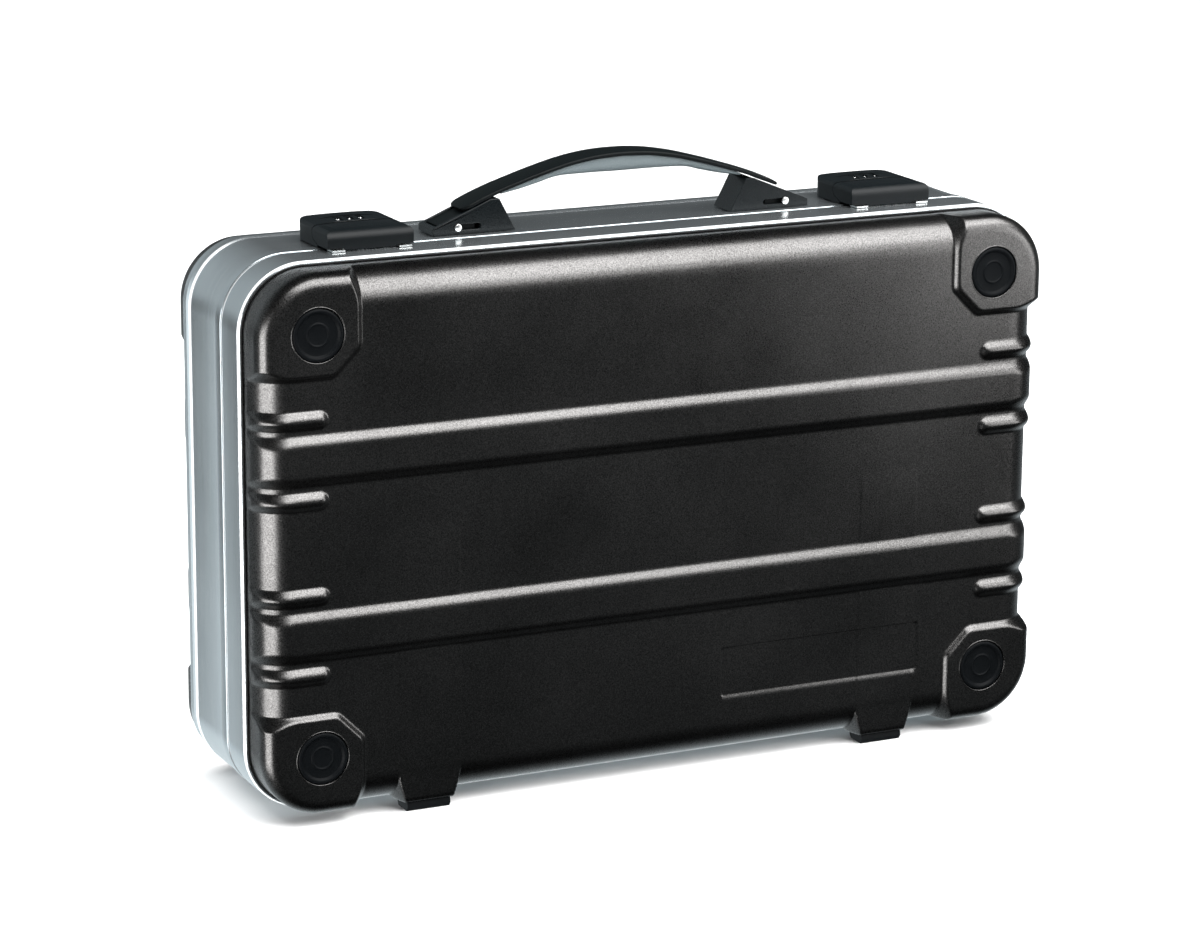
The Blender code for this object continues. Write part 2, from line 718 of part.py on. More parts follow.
def build_sliders(plastic, steel):
    """The strap ends: wedges that run in the mounts' channels, each with its cross pin."""
    slope = (MOUNT_PEAK_H - MOUNT_OUTER_H) / (MOUNT_OUTER_X - MOUNT_PEAK_X)
    below = 0.8 * MM
    for name, side in (("L", -1), ("R", 1)):
        outer = 113.6 * MM
        inner = 91.6 * MM
        outer_top = MOUNT_OUTER_H + slope * (MOUNT_OUTER_X - outer) - below
        inner_top = MOUNT_OUTER_H + slope * (MOUNT_OUTER_X - inner) - below
        outline = (
            (outer, FRAME_TOP + 2.0 * MM),
            (outer, FRAME_TOP + outer_top),
            (inner, FRAME_TOP + inner_top),
            (inner, FRAME_TOP + 2.0 * MM),
        )
        pin_point = (side * HANDLE_PIN_X, HANDLE_Y, FRAME_TOP + HANDLE_PIN_H)
        bm = bmesh.new()
        add_prism(bm, mirrored(outline, side), "Y", HANDLE_Y - SLIDER_HALF, HANDLE_Y + SLIDER_HALF)
        slider = finish(f"strap_end_{name}", bm, plastic, origin=pin_point)
        bm = bmesh.new()
        add_rod(bm, pin_point, "Y", HANDLE_PIN_R + GAP, -9 * MM, 9 * MM, 16)
        cutter = finish(f"strap_end_bore_{name}", bm, plastic)
        boolean(slider, cutter, "DIFFERENCE")
        face = MOUNT_HALF_DEPTH + GAP
        profile = (
            (HANDLE_HEAD_R - 0.3 * MM, -face - 0.8 * MM),
            (HANDLE_HEAD_R, -face - 0.5 * MM),
            (HANDLE_HEAD_R, -face),
            (HANDLE_PIN_R, -face),
            (HANDLE_PIN_R, face),
            (HANDLE_HEAD_R, face),
            (HANDLE_HEAD_R, face + 0.5 * MM),
            (HANDLE_HEAD_R - 0.3 * MM, face + 0.8 * MM),
        )
        bm = bmesh.new()
        add_lathe(bm, profile, pin_point, "Y", 18)
        finish(f"handle_pin_{name}", bm, steel, origin=pin_point)


def arch_points(half_points):
    """Both halves of an arch from its right half, running from -X to +X."""
    right = [(x * MM, FRAME_TOP + z * MM) for x, z in half_points]
    left = [(-x, z) for x, z in reversed(right[1:])]
    return left + right


def lowered(points, thickness):
    """The points shifted square to their curve, towards its lower side."""
    shifted = []
    for i, (x, z) in enumerate(points):
        before = points[max(i - 1, 0)]
        after = points[min(i + 1, len(points) - 1)]
        along = Vector((after[0] - before[0], after[1] - before[1])).normalized()
        shifted.append((x + thickness * along.y, z - thickness * along.x))
    return shifted


def build_handle(leather, grip):
    top = arch_points(STRAP_TOP)
    bottom = lowered(top, STRAP_THICK)
    origin = (0.0, HANDLE_Y, FRAME_TOP)
    bm = bmesh.new()
    edge = 0.8 * MM
    shoulder = lowered(top, edge)
    rings = []
    for i in range(len(top)):
        section = (
            (top[i], STRAP_HALF - edge),
            (shoulder[i], STRAP_HALF),
            (bottom[i], STRAP_HALF),
            (bottom[i], -STRAP_HALF),
            (shoulder[i], -STRAP_HALF),
            (top[i], -STRAP_HALF + edge),
        )
        rings.append([bm.verts.new((p[0], HANDLE_Y + y, p[1])) for p, y in section])
    bridge_rings(bm, rings)
    finish("handle_strap", bm, leather, origin=origin)

    lower = arch_points(GRIP_BOTTOM)
    seat = lowered(top, STRAP_THICK + FIT_GAP)
    seat_x = [p[0] for p in seat]
    rings = []
    bm = bmesh.new()
    for x, z in lower:
        k = max(i for i, value in enumerate(seat_x) if value <= x)
        share = (x - seat_x[k]) / (seat_x[k + 1] - seat_x[k])
        upper = seat[k][1] + share * (seat[k + 1][1] - seat[k][1])
        chamfer = min(3 * MM, 0.4 * (upper - z))
        section = (
            (upper, GRIP_HALF),
            (z + chamfer, GRIP_HALF),
            (z, GRIP_HALF - chamfer),
            (z, -GRIP_HALF + chamfer),
            (z + chamfer, -GRIP_HALF),
            (upper, -GRIP_HALF),
        )
        rings.append([bm.verts.new((x, HANDLE_Y + y, h)) for h, y in section])
    bridge_rings(bm, rings)
    finish("handle_grip_pad", bm, grip, origin=origin)


def bridge_rings(bm, rings):
    count = len(rings[0])
    for first, second in zip(rings, rings[1:]):
        for k in range(count):
            m = (k + 1) % count
            bm.faces.new((first[k], first[m], second[m], second[k]))
    bm.faces.new(rings[0][::-1])
    bm.faces.new(rings[-1])


def arc(centre, radius, start_deg, end_deg, steps):
    points = []
    for k in range(steps + 1):
        angle = math.radians(start_deg + (end_deg - start_deg) * k / steps)
        points.append((centre[0] + radius * math.cos(angle), centre[1] + radius * math.sin(angle)))
    return points


def lock_crown(name, centre, plastic):
    """The space under the lock's crowned top, whose ends fall away in a quarter ellipse."""
    shoulder = LOCK_H - LOCK_CROWN_DROP
    half = []
    for k in range(5):
        share = k / 4
        half.append((LOCK_CROWN_X * share, LOCK_H - LOCK_CROWN_DROP * share * share))
    for k in range(1, 6):
        angle = math.radians(90 * k / 5)
        side = LOCK_CROWN_X + (LOCK_HALF - LOCK_CROWN_X) * math.sin(angle)
        half.append((side, LOCK_END_H + (shoulder - LOCK_END_H) * math.cos(angle)))
    half.append((LOCK_HALF, -1 * MM))
    whole = [(-x, z) for x, z in reversed(half)] + half[1:]
    outline = [(centre + x, FRAME_TOP + z) for x, z in whole]
    bm = bmesh.new()
    add_prism(bm, outline, "Y", -30 * MM, 30 * MM)
    return finish(f"lock_crown_cutter_{name}", bm, plastic)


def build_lock_body(name, centre, plastic):
    low = FRAME_TOP + GAP
    high = FRAME_TOP + LOCK_H
    axis_z = high - FLAP_KNUCKLE_R
    front = GAP
    outline = (
        (front, low),
        (front, high - 0.6 * MM),
        (front + 0.6 * MM, high),
        (LOCK_REAR_Y - 3 * MM, high),
        (LOCK_REAR_Y - 0.8 * MM, high - 0.8 * MM),
        (LOCK_REAR_Y, high - 3 * MM),
        (LOCK_REAR_Y, low),
    )
    bm = bmesh.new()
    add_prism(bm, outline, "X", centre - LOCK_HALF, centre + LOCK_HALF)
    body = finish(f"lock_body_{name}", bm, plastic)
    bm = bmesh.new()
    turn = LOCK_HALF - LOCK_CORNER_R
    plan = arc((centre + turn, LOCK_REAR_Y - LOCK_CORNER_R), LOCK_CORNER_R, 0, 90, 8)
    plan += arc((centre - turn, LOCK_REAR_Y - LOCK_CORNER_R), LOCK_CORNER_R, 90, 180, 8)
    plan += [(centre - LOCK_HALF, -1 * MM), (centre + LOCK_HALF, -1 * MM)]
    add_prism(bm, plan, "Z", low - 1 * MM, high + 1 * MM)
    rounding = finish(f"lock_plan_cutter_{name}", bm, plastic)
    boolean(body, rounding, "INTERSECT")
    boolean(body, lock_crown(f"body_{name}", centre, plastic), "INTERSECT")
    bm = bmesh.new()
    cheek = [(1 * MM, axis_z), (1 * MM, low), (-8.2 * MM, low), (-8.2 * MM, low + 1.25 * MM)]
    cheek += arc((FLAP_AXIS_Y, axis_z), FLAP_KNUCKLE_R + GAP, -90, 0, 8)
    for side in (-1, 1):
        edge = centre + side * LOCK_HALF
        inside = edge - side * (FLAP_END_WALL - GAP)
        add_prism(bm, cheek, "X", min(edge, inside), max(edge, inside))
    cheeks = finish(f"lock_cheeks_{name}", bm, plastic)
    boolean(body, cheeks, "UNION")
    bm = bmesh.new()
    lug_x = 20.5 * MM
    plate = ((-11.5 * MM, low), (-11.5 * MM, low + 1.2 * MM), (1 * MM, low + 1.2 * MM), (1 * MM, low))
    add_prism(bm, plate, "X", centre - 22 * MM, centre + 22 * MM)
    plate_obj = finish(f"lock_plate_{name}", bm, plastic)
    boolean(body, plate_obj, "UNION")
    bm = bmesh.new()
    for side in (-1, 1):
        lug = [(FLAP_AXIS_Y - 2.6 * MM, low + 0.4 * MM), (FLAP_AXIS_Y + 0.6 * MM, low + 0.4 * MM)]
        lug += arc((FLAP_AXIS_Y, axis_z), 2.6 * MM, -60, 180, 8)
        add_prism(bm, lug, "X", centre + side * lug_x - 1 * MM, centre + side * lug_x + 1 * MM)
    lugs = finish(f"lock_lugs_{name}", bm, plastic)
    boolean(body, lugs, "UNION")
    bm = bmesh.new()
    dial_z = FRAME_TOP + DIAL_AXIS_H
    for k in (-1, 0, 1):
        x = centre + k * DIAL_PITCH
        add_box(
            bm,
            (x - DIAL_HALF - GAP, DIAL_Y - DIAL_R - 0.4 * MM, low - 1 * MM),
            (x + DIAL_HALF + GAP, DIAL_Y + DIAL_R + 0.4 * MM, high + 1 * MM),
        )
    slots = finish(f"dial_slot_cutter_{name}", bm, plastic)
    boolean(body, slots, "DIFFERENCE")
    bm = bmesh.new()
    add_rod(bm, (centre, DIAL_Y, dial_z), "X", AXLE_R + GAP, -12.6 * MM, 12.6 * MM, 12)
    axle_bore = finish(f"dial_axle_cutter_{name}", bm, plastic)
    boolean(body, axle_bore, "DIFFERENCE")
    bm = bmesh.new()
    add_rod(bm, (centre, FLAP_AXIS_Y, axis_z), "X", 1.2 * MM + GAP, -26 * MM, 26 * MM, 14)
    pin_bore = finish(f"lug_bore_cutter_{name}", bm, plastic)
    boolean(body, pin_bore, "DIFFERENCE")
    bm = bmesh.new()
    lens = arc((centre, DIAL_Y - 31 * MM), 39 * MM, 64, 116, 10)
    add_prism(bm, lens, "Z", high - 1.1 * MM, high + 2 * MM)
    recess = finish(f"lens_cutter_{name}", bm, plastic)
    boolean(body, recess, "DIFFERENCE")


def build_flap(name, centre, plastic, steel):
    high = FRAME_TOP + LOCK_H
    low = FRAME_TOP + FLAP_BOTTOM_H
    axis_z = high - FLAP_KNUCKLE_R
    axis_point = (centre, FLAP_AXIS_Y, axis_z)
    outer = [
        (LOCK_FRONT_Y, low),
        (LOCK_FRONT_Y, high - 5 * MM),
        (LOCK_FRONT_Y + 0.7 * MM, high - 2.6 * MM),
        (LOCK_FRONT_Y + 2.4 * MM, high - 0.8 * MM),
        (LOCK_FRONT_Y + 5 * MM, high),
    ]
    outer += arc((FLAP_AXIS_Y, axis_z), FLAP_KNUCKLE_R, 90, 0, 6)
    inner = arc((FLAP_AXIS_Y, axis_z), FLAP_KNUCKLE_R - 1.3 * MM, 0, 90, 6)
    inner += [
        (LOCK_FRONT_Y + 5.4 * MM, high - 1.4 * MM),
        (LOCK_FRONT_Y + 3.0 * MM, high - 2.2 * MM),
        (LOCK_FRONT_Y + 2.0 * MM, high - 3.4 * MM),
        (LOCK_FRONT_Y + FLAP_SHEET, high - 5 * MM),
        (LOCK_FRONT_Y + FLAP_SHEET, low),
    ]
    bm = bmesh.new()
    add_prism(bm, outer + inner, "X", centre - LOCK_HALF, centre + LOCK_HALF)
    flap = finish(f"lock_flap_{name}", bm, plastic, origin=axis_point)
    bm = bmesh.new()
    wall = outer[:5] + arc((FLAP_AXIS_Y, axis_z), FLAP_KNUCKLE_R - 0.02 * MM, 90, -90, 10)
    wall += [(-9 * MM, low)]
    for side in (-1, 1):
        edge = centre + side * LOCK_HALF
        inside = edge - side * FLAP_END_WALL
        add_prism(bm, wall, "X", min(edge, inside), max(edge, inside))
    walls = finish(f"flap_wall_block_{name}", bm, plastic)
    boolean(flap, walls, "UNION")
    boolean(flap, lock_crown(f"flap_{name}", centre, plastic), "INTERSECT")
    bm = bmesh.new()
    add_box(
        bm,
        (centre - FLAP_SKIRT_HALF, LOCK_FRONT_Y, FRAME_TOP + FLAP_SKIRT_H),
        (centre + FLAP_SKIRT_HALF, LOCK_FRONT_Y + FLAP_SHEET, low + 0.5 * MM),
    )
    skirt = finish(f"flap_skirt_block_{name}", bm, plastic)
    boolean(flap, skirt, "UNION")
    bm = bmesh.new()
    add_rod(bm, axis_point, "X", 1.2 * MM + GAP, -27 * MM, 27 * MM, 14)
    bore = finish(f"flap_bore_cutter_{name}", bm, plastic)
    boolean(flap, bore, "DIFFERENCE")
    bm = bmesh.new()
    add_rod(bm, axis_point, "X", 1.2 * MM, -25 * MM, 25 * MM, 12)
    finish(f"lock_flap_pin_{name}", bm, steel)
    bm = bmesh.new()
    hook = (
        (-13.6 * MM, high - FLAP_SHEET - GAP),
        (-16.4 * MM, high - FLAP_SHEET - GAP),
        (-16.4 * MM, FRAME_TOP + 4.2 * MM),
        (-19.0 * MM, FRAME_TOP + 3.4 * MM),
        (-19.0 * MM, FRAME_TOP + 2.2 * MM),
        (-13.6 * MM, FRAME_TOP + 2.6 * MM),
    )
    add_prism(bm, hook, "X", centre - 9 * MM, centre + 9 * MM)
    finish(f"lock_hook_{name}", bm, steel, origin=axis_point)


def build_locks(plastic, dial_paint, steel):
    for name, side in (("L", -1), ("R", 1)):
        centre = side * LOCK_X
        build_lock_body(name, centre, plastic)
        build_flap(name, centre, plastic, steel)
        dial_z = FRAME_TOP + DIAL_AXIS_H
        for number, k in enumerate((-1, 0, 1), start=1):
            bm = bmesh.new()
            point = (centre + k * DIAL_PITCH, DIAL_Y, dial_z)
            outer = DIAL_R
            profile = (
                (AXLE_R + GAP, -DIAL_HALF),
                (outer - 0.4 * MM, -DIAL_HALF),
                (outer, -DIAL_HALF + 0.4 * MM),
                (outer, DIAL_HALF - 0.4 * MM),
                (outer - 0.4 * MM, DIAL_HALF),
                (AXLE_R + GAP, DIAL_HALF),
            )
            add_tube(bm, profile, point, 20)
            finish(f"lock_dial_{name}{number}", bm, dial_paint, origin=point)
        bm = bmesh.new()
        add_rod(bm, (centre, DIAL_Y, dial_z), "X", AXLE_R, -12.2 * MM, 12.2 * MM, 10)
        finish(f"lock_axle_{name}", bm, steel)
        bm = bmesh.new()
        low = FRAME_TOP + GAP
        high = FRAME_TOP + 1.3 * MM
        half = 23.5 * MM
        tab = 7.5 * MM
        plan = (
            (centre - half, -25.6 * MM),
            (centre - half + tab, -25.6 * MM),
            (centre - half + tab, -21 * MM),
            (centre + half - tab, -21 * MM),
            (centre + half - tab, -25.6 * MM),
            (centre + half, -25.6 * MM),
            (centre + half, -18 * MM),
            (centre - half, -18 * MM),
        )
        add_prism(bm, plan, "Z", low, high)
        finish(f"lid_striker_{name}", bm, steel)


def add_tube(bm, profile, centre, segments):
    """Turn a closed profile that never reaches the axis round a line along X."""
    rings = []
    for k in range(segments):
        angle = 2 * math.pi * k / segments
        ring = []
        for radius, along in profile:
            y = centre[1] + radius * math.cos(angle)
            z = centre[2] + radius * math.sin(angle)
            ring.append(bm.verts.new((centre[0] + along, y, z)))
        rings.append(ring)
    count = len(profile)
    for k in range(segments):
        after = rings[(k + 1) % segments]
        for i in range(count):
            j = (i + 1) % count
            bm.faces.new((rings[k][i], rings[k][j], after[j], after[i]))


def recess_plate(shell):
    """The blank sunk rectangle low on the right of the lid."""
    bm = bmesh.new()
    low = (PLATE_LEFT, LID_PANEL - 1 * MM, CENTRE_Z + PLATE_LOW)
    high = (PLATE_RIGHT, LID_PANEL + PLATE_DEPTH, CENTRE_Z + PLATE_HIGH)
    add_box(bm, low, high)
    edges = [e for e in bm.edges if e.verts[0].co.y != e.verts[1].co.y]
    bmesh.ops.bevel(bm, geom=edges, offset=PLATE_CORNER_R, segments=2, affect="EDGES")
    plate = finish("plate_cutter", bm, shell.data.materials[0])
    boolean(shell, plate, "DIFFERENCE")


def main():
    clear_scene()
    dark = material("anodised_dark", (0.045, 0.038, 0.035), 0.38, 1.0)
    silver = material("anodised_silver", (0.52, 0.56, 0.58), 0.34, 1.0)
    plastic = material("black_plastic", (0.012, 0.014, 0.016), 0.42, 0.0)
    rubber = material("black_rubber", (0.018, 0.018, 0.019), 0.7, 0.0)
    leather = material("black_strap", (0.014, 0.016, 0.018), 0.5, 0.0)
    grip = material("grey_grip", (0.36, 0.39, 0.41), 0.5, 0.0)
    steel = material("bright_steel", (0.7, 0.7, 0.7), 0.28, 1.0)
    lining = material("grey_lining", (0.11, 0.11, 0.12), 0.9, 0.0)

    groove_low, groove_high, lid_edge = build_frames(silver)
    build_seals(rubber, groove_low, groove_high, lid_edge)
    lid = shell_solid("lid_shell", dark, LID_WALL_INSET, -33.1 * MM, LID_PANEL, LID_PAD, LID_EDGE_R, True)
    recess_plate(lid)
    button_holes(lid, LID_PAD)
    base = shell_solid(
        "base_shell", dark, BASE_WALL_INSET, 46.4 * MM, BASE_PANEL, BASE_PAD, BASE_EDGE_R, False
    )
    button_holes(base, BASE_PAD)
    lining_solid("base_lining", lining, 16 * MM, 55.6 * MM, 57.2 * MM)
    lining_solid("lid_lining", lining, 17 * MM, -57.0 * MM, -55.4 * MM)
    build_buttons("lid", LID_PAD, rubber)
    build_buttons("base", BASE_PAD, rubber)
    build_feet(rubber)
    build_hinges(steel)
    build_stays(steel)
    build_handle_mounts(plastic)
    build_sliders(leather, steel)
    build_handle(leather, grip)
    build_locks(plastic, plastic, steel)


main()
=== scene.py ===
"""Look of the attache case: fine surfaces, finishes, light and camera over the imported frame.

World frame in metres: X is the width, Y the depth with the lid towards -Y, Z is up.
"""
import math

import bmesh
import bpy
import numpy as np
from mathutils import Matrix, Vector


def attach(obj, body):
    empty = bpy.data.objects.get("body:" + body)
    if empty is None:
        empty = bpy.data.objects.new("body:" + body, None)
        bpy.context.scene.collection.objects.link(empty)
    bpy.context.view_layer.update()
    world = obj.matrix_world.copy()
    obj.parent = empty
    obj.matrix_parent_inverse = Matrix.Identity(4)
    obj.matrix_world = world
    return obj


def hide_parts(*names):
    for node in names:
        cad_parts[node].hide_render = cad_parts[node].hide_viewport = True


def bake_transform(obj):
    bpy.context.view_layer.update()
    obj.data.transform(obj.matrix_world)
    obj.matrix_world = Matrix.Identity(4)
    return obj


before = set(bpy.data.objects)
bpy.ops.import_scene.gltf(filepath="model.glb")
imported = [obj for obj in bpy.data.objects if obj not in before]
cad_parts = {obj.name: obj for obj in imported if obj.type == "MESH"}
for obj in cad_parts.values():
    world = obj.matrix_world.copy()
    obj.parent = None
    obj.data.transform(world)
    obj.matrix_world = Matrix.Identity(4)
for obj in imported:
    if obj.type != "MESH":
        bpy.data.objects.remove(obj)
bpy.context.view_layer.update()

MM = 0.001
SIDES = (("L", -1), ("R", 1))

# ---- overall form, as in the CAD ----
HALF_W = 247 * MM
HALF_H = 155 * MM
CORNER_R = 38 * MM
CENTRE_Z = 159 * MM
FRAME_TOP = CENTRE_Z + HALF_H
LID_FRONT = -39 * MM
PARTING = -12 * MM
HALF_SPLIT = 0.2 * MM
GAP = 0.3 * MM
BASE_REAR = 52 * MM
LID_PANEL = -61 * MM
LID_PAD = -63.8 * MM
BASE_PANEL = 61.5 * MM
BASE_PAD = 63.8 * MM
SHEET = 1.2 * MM
LID_WALL_INSET = 3 * MM
BASE_WALL_INSET = 3.6 * MM
LID_WALL_START = -33.1 * MM
BASE_WALL_START = 46.4 * MM
LID_EDGE_R = 20 * MM
BASE_EDGE_R = 8.5 * MM
CORNER_STEPS = 26
LID_EDGE_STEPS = 26
BASE_EDGE_STEPS = 16
RIM_STEPS = 6

# ---- pressed relief: a ROUND is a share of the edge radius, a BLEND the width of a soft crease ----
PAD_X = 184 * MM
PAD_Z = 94 * MM
PAD_CUT = 16 * MM
PAD_SLOPE = 1.06
PAD_ROUND = 0.4
PAD_BLEND = 2.0 * MM
PAD_TOP_BLEND = 0.7 * MM
RIB_Z = 49.5 * MM
RIB_HALF = 14.4 * MM
RIB_BEVEL = 5 * MM
RIB_ROUND = 0.85
RIB_BLEND = 1.0 * MM
FINGER_OFFSET = 22.5 * MM
FINGER_HALF = 5.2 * MM
FINGER_BEVEL = 3.5 * MM
FINGER_BLEND = 1.6 * MM
FINGER_TIP = 204 * MM
FOOT_X = 145 * MM
TAB_HALF = 18.7 * MM
TAB_SLOPE = 2.0
TAB_DROP = 1.4 * MM
TAB_START = math.radians(8)
TAB_RAMP = 14 * MM
TAB_EDGE_R = 2.5 * MM
TAB_BLEND = 0.8 * MM
GROUND_BLEND = 0.5 * MM
PLATE_X = (36.8 * MM, 166.6 * MM)
PLATE_Z = (-117 * MM, -87 * MM)
PLATE_DEPTH = 0.6 * MM
PLATE_CORNER = 2.5 * MM
PLATE_SLOPE = 1.2
PLATE_MIN_ANGLE = 1.5

# ---- rubber buttons ----
BUTTON_X = 210 * MM
BUTTON_Z = 119 * MM
BUTTON_HOLE_R = 15.4 * MM
ROUND_STEPS = 96
BUTTONS = (
    ("L_bottom", -BUTTON_X, CENTRE_Z - BUTTON_Z),
    ("L_top", -BUTTON_X, CENTRE_Z + BUTTON_Z),
    ("R_bottom", BUTTON_X, CENTRE_Z - BUTTON_Z),
    ("R_top", BUTTON_X, CENTRE_Z + BUTTON_Z),
)

# ---- handle ----
HANDLE_Y = 5.5 * MM
MOUNT_HALF_DEPTH = 10.5 * MM
MOUNT_OUTER_X = 118 * MM
MOUNT_PEAK_X = 83 * MM
MOUNT_INNER_TOP_X = 77.5 * MM
MOUNT_INNER_X = 67.7 * MM
MOUNT_OUTER_H = 4.3 * MM
MOUNT_PEAK_H = 18.7 * MM
CHANNEL_X = (79.6 * MM, 115.4 * MM)
CHANNEL_H = 1.6 * MM
CHANNEL_HALF = 7.8 * MM
HANDLE_PIN_X = 103.1 * MM
HANDLE_PIN_H = 4.2 * MM
HANDLE_PIN_R = 1.3 * MM
HANDLE_HEAD_R = 2.25 * MM
SLOT_INNER_X = 90.6 * MM
SLOT_HALF = 1.6 * MM
STRAP_HALF = 10.2 * MM
STRAP_THICK = 2.8 * MM
GRIP_HALF = 9 * MM
STRAP_TIP = 6 * MM
TIP_NARROWS = 0.35
TIP_THINS = 0.55
TIP_DROP = 0.6
GRIP_DEEP = 6 * MM
GRIP_POWER = (0.42, 0.5)
GRIP_PINCH = 0.05
PATH_STEP = 1.5 * MM
STRAP_TOP = (
    (0, 40.2), (17, 39.4), (34, 36.7), (52, 32.1), (68, 27.3),
    (78, 24.1), (88, 20.4), (96, 17.0), (100.5, 15.0),
)
GRIP_BOTTOM = ((0, 27.6), (20, 27.8), (40, 27.4), (52, 24.6), (64, 21.9), (75, 20.3))

# ---- combination locks ----
LOCK_X = 162.8 * MM
LOCK_HALF = 25.4 * MM
LOCK_H = 12.2 * MM
LOCK_REAR_Y = 27 * MM
LOCK_CORNER_R = 11 * MM
LOCK_CROWN_X = 21.8 * MM
LOCK_CROWN_DROP = 0.8 * MM
LOCK_END_H = 8.4 * MM
LOCK_FRONT_Y = -23.5 * MM
FLAP_AXIS_Y = -4.4 * MM
FLAP_KNUCKLE_R = 4.4 * MM
FLAP_SHEET = 1.5 * MM
FLAP_NOSE = (6.5 * MM, 6 * MM)
FLAP_BOTTOM_H = 1.7 * MM
FLAP_SKIRT_HALF = 15.5 * MM
FLAP_SKIRT_H = 0.7 * MM
FLAP_END_WALL = 3.6 * MM
LUG_R = 2.6 * MM
LUG_X = 20.5 * MM
LENS_R = 39 * MM
DIAL_Y = 9 * MM
DIAL_R = 5.2 * MM
DIAL_HALF = 1.5 * MM
DIAL_PITCH = 6.6 * MM
DIAL_AXIS_H = 6.3 * MM
DIAL_STEPS = 60
DIAL_NOTCH = 0.14
NOTCH_EVERY = 6
DIGIT_H = 2.9 * MM
DIGIT_WIDTH = 0.95
DIGIT_PROUD = 0.03 * MM
DIGIT_TURN = 36

# ---- painted highlights on the frame bevels, as pale bands: span in Y and strength along the top, where they are dimmed because the top catches less light ----
FRONT_HIGHLIGHT = (-38.7 * MM, -37.5 * MM, 1.0)
PARTING_HIGHLIGHT = (-14.6 * MM, -12.3 * MM, 0.0)
RIDGE_HIGHLIGHT = (35.4 * MM, 38.8 * MM, 0.05)
HIGHLIGHT_SOFT = 0.15 * MM
HIGHLIGHT_FADE = 5 * MM
HIGHLIGHT_COLOUR = (0.66, 0.67, 0.68)
HIGHLIGHT_METALLIC = 0.25

# ---- turn of the noise space, off the axes ----
NOISE_TURN = (0.61, 0.37, 0.83)

# ---- camera, fitted to the photo ----
CAMERA_PLACE = (-0.9752, -2.0052, 0.7390)
CAMERA_YAW = math.radians(25.66)
CAMERA_PITCH = math.radians(14.42)
CAMERA_ROLL = math.radians(0.37)
CAMERA_LENS = 119.52


# -------- materials --------


def graph(name, metallic):
    made = bpy.data.materials.new(name)
    made.use_nodes = True
    tree = made.node_tree
    shader = tree.nodes["Principled BSDF"]
    shader.inputs["Metallic"].default_value = metallic
    return made, tree, shader


def node(tree, kind, values=None, **settings):
    made = tree.nodes.new(kind)
    for key, value in settings.items():
        setattr(made, key, value)
    for key, value in (values or {}).items():
        made.inputs[key].default_value = value
    return made


def place_coords(tree, scale=(1.0, 1.0, 1.0)):
    """Object positions turned off the axes, so that no flat face follows the noise's own grid."""
    coords = node(tree, "ShaderNodeTexCoord")
    mapping = node(tree, "ShaderNodeMapping", {"Scale": scale, "Rotation": NOISE_TURN})
    tree.links.new(coords.outputs["Object"], mapping.inputs["Vector"])
    return mapping.outputs["Vector"]


def noise(tree, vector, scale, detail, roughness):
    made = node(tree, "ShaderNodeTexNoise", {"Scale": scale, "Detail": detail, "Roughness": roughness})
    tree.links.new(vector, made.inputs["Vector"])
    return made.outputs["Fac"]


def spread(tree, value, low_in, high_in, low_out, high_out):
    made = node(
        tree,
        "ShaderNodeMapRange",
        {"From Min": low_in, "From Max": high_in, "To Min": low_out, "To Max": high_out},
    )
    tree.links.new(value, made.inputs["Value"])
    return made.outputs["Result"]


def mixed(tree, factor, first, second):
    made = node(tree, "ShaderNodeMix", data_type="RGBA")
    tree.links.new(factor, made.inputs["Factor"])
    for socket, colour in ((made.inputs[6], first), (made.inputs[7], second)):
        if isinstance(colour, tuple):
            socket.default_value = (*colour, 1.0)
        else:
            tree.links.new(colour, socket)
    return made.outputs[2]


def summed(tree, first, second, share):
    made = node(tree, "ShaderNodeMath", operation="MULTIPLY_ADD")
    tree.links.new(second, made.inputs[0])
    made.inputs[1].default_value = share
    tree.links.new(first, made.inputs[2])
    return made.outputs["Value"]


def tinted(tree, colour, share):
    made = node(tree, "ShaderNodeVectorMath", operation="SCALE")
    tree.links.new(colour, made.inputs[0])
    tree.links.new(share, made.inputs["Scale"])
    return made.outputs["Vector"]


def product(tree, first, second):
    made = node(tree, "ShaderNodeMath", operation="MULTIPLY")
    tree.links.new(first, made.inputs[0])
    tree.links.new(second, made.inputs[1])
    return made.outputs["Value"]


def blended(tree, factor, first, second):
    made = node(tree, "ShaderNodeMix", data_type="FLOAT")
    tree.links.new(factor, made.inputs["Factor"])
    tree.links.new(first, made.inputs[2])
    tree.links.new(second, made.inputs[3])
    return made.outputs[0]


def bumped(tree, shader, height, strength, distance):
    made = node(tree, "ShaderNodeBump", {"Strength": strength, "Distance": distance})
    tree.links.new(height, made.inputs["Height"])
    tree.links.new(made.outputs["Normal"], shader.inputs["Normal"])


def worn_edges(tree, low, high):
    geometry = node(tree, "ShaderNodeNewGeometry")
    return spread(tree, geometry.outputs["Pointiness"], low, high, 0.0, 1.0)


